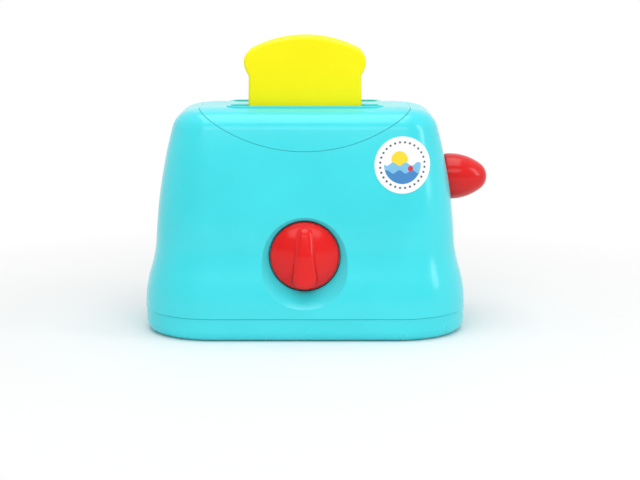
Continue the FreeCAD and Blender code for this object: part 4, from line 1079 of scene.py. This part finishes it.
def make_pieces():
    dress(make_body_shell(), "body", "housing", "body_shell")
    dress(make_top_cover(), "body", "housing", "top_cover")
    dress(make_base_pan(), "base", "housing", "base_pan")
    dress(make_label(), "label", "housing", "round_label")
    dress(make_dial_knob(), "red", "dial", "dial_knob")
    dress(make_lever_knob(), "lever_red", "carriage", "lever_knob")
    for row, side in (("front", -1), ("rear", 1)):
        slice_piece = make_slice(f"play_toast_{row}", side * SLOT_PITCH / 2)
        dress(slice_piece, "toast", f"slice_{row}", f"toast_{row}")
        spring = make_spring(f"coil_spring_{row}", side * SPRING_Y)
        dress(spring, "spring", "housing", f"lift_spring_{row}")
        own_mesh(spring)
    pan_spots = [(x, y, PAN_SCREW_Z) for x, y in screw_corners()]
    cover_spots = [(x, 0, TOP - GUIDE_SCREW_DROP) for x in (-GUIDE_SCREW_X, GUIDE_SCREW_X)]
    timer_spots = [(x, -DIAL_SCREW_Y, DIAL_Z) for x in (-DIAL_SCREW_X, DIAL_SCREW_X)]
    knob_spots = [(KNOB_SCREW_X, 0, KNOB_SCREW_Z)]
    across = (-math.pi / 2, 0.0, 0.0)
    pan_screws = make_screws("pan_screws", pan_spots, PAN_SCREW_LENGTH)
    dress(pan_screws, "steel", "housing", "base_screws")
    guide_screws = make_screws("guide_screws", cover_spots, GUIDE_SCREW_LENGTH)
    dress(guide_screws, "steel", "housing", "cover_screws")
    dial_screws = make_screws("dial_screws", timer_spots, DIAL_SCREW_LENGTH, across)
    dress(dial_screws, "steel", "housing", "timer_screws")
    knob_screw = make_screws("knob_screw", knob_spots, KNOB_SCREW_LENGTH)
    dress(knob_screw, "steel", "carriage", "lever_screw")


def dress_kept_nodes():
    kept = {
        "toast_guide": "guide", "carriage": "carriage", "timer_case": "timer",
        "snail_cam": "latch", "dial_arbor": "latch", "latch_arm": "latch",
        "latch_bracket": "bracket", "guide_rod_front": "rods", "guide_rod_rear": "rods",
        "foot_1": "feet", "foot_2": "feet", "foot_3": "feet", "foot_4": "feet",
    }
    for node, finish in kept.items():
        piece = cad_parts[node]
        for place in piece.material_slots:
            place.material = FINISHES[finish]


# Stage, light and camera


def make_floor():
    """A pale floor that keeps the shadow and fades to plain white away from the toaster."""
    reach = 6000
    corners = [(-reach, -reach, 0), (reach, -reach, 0), (reach, reach, 0), (-reach, reach, 0)]
    floor = new_object("floor", corners, [(0, 1, 2, 3)])
    finish, tree, shader = new_finish("floor_paper")
    shader.inputs["Base Color"].default_value = (0.9, 0.9, 0.9, 1.0)
    shader.inputs["Roughness"].default_value = 0.7
    place = joined(tree, "ShaderNodeTexCoord")
    away = joined(tree, "ShaderNodeVectorMath", {0: place.outputs["Object"]}, operation="LENGTH")
    fade = between(tree, away.outputs["Value"], 0.13, 0.34, 0.0, 1.0)
    seen = joined(tree, "ShaderNodeLightPath")
    looks = math_node(tree, "MAXIMUM", seen.outputs["Is Camera Ray"],
                      seen.outputs["Is Glossy Ray"])
    white = joined(tree, "ShaderNodeEmission", values={"Color": (1, 1, 1, 1), "Strength": 1.0})
    blend = joined(tree, "ShaderNodeMixShader", {
        "Fac": math_node(tree, "MULTIPLY", fade, looks),
        1: shader.outputs[0], 2: white.outputs[0],
    })
    out = tree.nodes["Material Output"]
    tree.links.new(blend.outputs[0], out.inputs["Surface"])
    floor.data.materials.append(finish)


def make_world():
    """A white room whose even light comes mostly from the front."""
    world = bpy.data.worlds.new("studio")
    bpy.context.scene.world = world
    world.use_nodes = True
    tree = world.node_tree
    paint = tree.nodes["Background"]
    seen = joined(tree, "ShaderNodeLightPath")
    way = joined(tree, "ShaderNodeTexCoord")
    parts = joined(tree, "ShaderNodeSeparateXYZ", {"Vector": way.outputs["Generated"]})
    # the room's fill comes from the front, and its mirror image is palest at the back
    fill = between(tree, parts.outputs["Y"], -0.9, 0.3, FRONT_FILL, BACK_FILL)
    mirror = between(tree, parts.outputs["Y"], -0.6, 0.1, FRONT_MIRROR, 1.0)
    shine = math_node(tree, "MAXIMUM", seen.outputs["Is Glossy Ray"],
                      seen.outputs["Is Transmission Ray"])
    shade = mixed(tree, shine, fill, mirror)
    shade = mixed(tree, seen.outputs["Is Camera Ray"], shade, (1.0, 1.0, 1.0, 1.0))
    tree.links.new(shade, paint.inputs["Color"])
    paint.inputs["Strength"].default_value = 1.0


def add_softbox(name, spot, target, width, height, power):
    lamp = bpy.data.lights.new(name, "AREA")
    lamp.shape = "RECTANGLE"
    lamp.size = width
    lamp.size_y = height
    lamp.energy = power
    light = bpy.data.objects.new(name, lamp)
    bpy.context.scene.collection.objects.link(light)
    light.location = spot
    light.rotation_euler = (Vector(target) - Vector(spot)).to_track_quat("-Z", "Y").to_euler()


def make_camera():
    lens = bpy.data.cameras.new("camera")
    lens.sensor_width = 36.0
    lens.lens = FOCAL_PIXELS / IMAGE_WIDTH * 36.0
    lens.clip_end = 50.0
    camera = bpy.data.objects.new("camera", lens)
    bpy.context.scene.collection.objects.link(camera)
    camera.location = [c * MM for c in CAMERA_SPOT]
    camera.rotation_euler = (math.radians(90 - CAMERA_PITCH), 0, 0)
    bpy.context.scene.camera = camera


make_pieces()
dress_kept_nodes()
make_floor()
make_world()
add_softbox("overhead_softbox", (0.0, -0.08, 1.05), (0.0, -0.02, 0.05), 0.9, 0.9, 5.6)
add_softbox("front_softbox", (0.0, -1.3, 0.98), (0.0, 0.0, 0.06), 1.7, 0.5, 5.0)
add_softbox("right_strip", (1.05, -0.34, 0.5), (0.0, 0.0, 0.05), 0.2, 0.7, 1.8)
make_camera()
bpy.context.scene.view_settings.view_transform = "Standard"
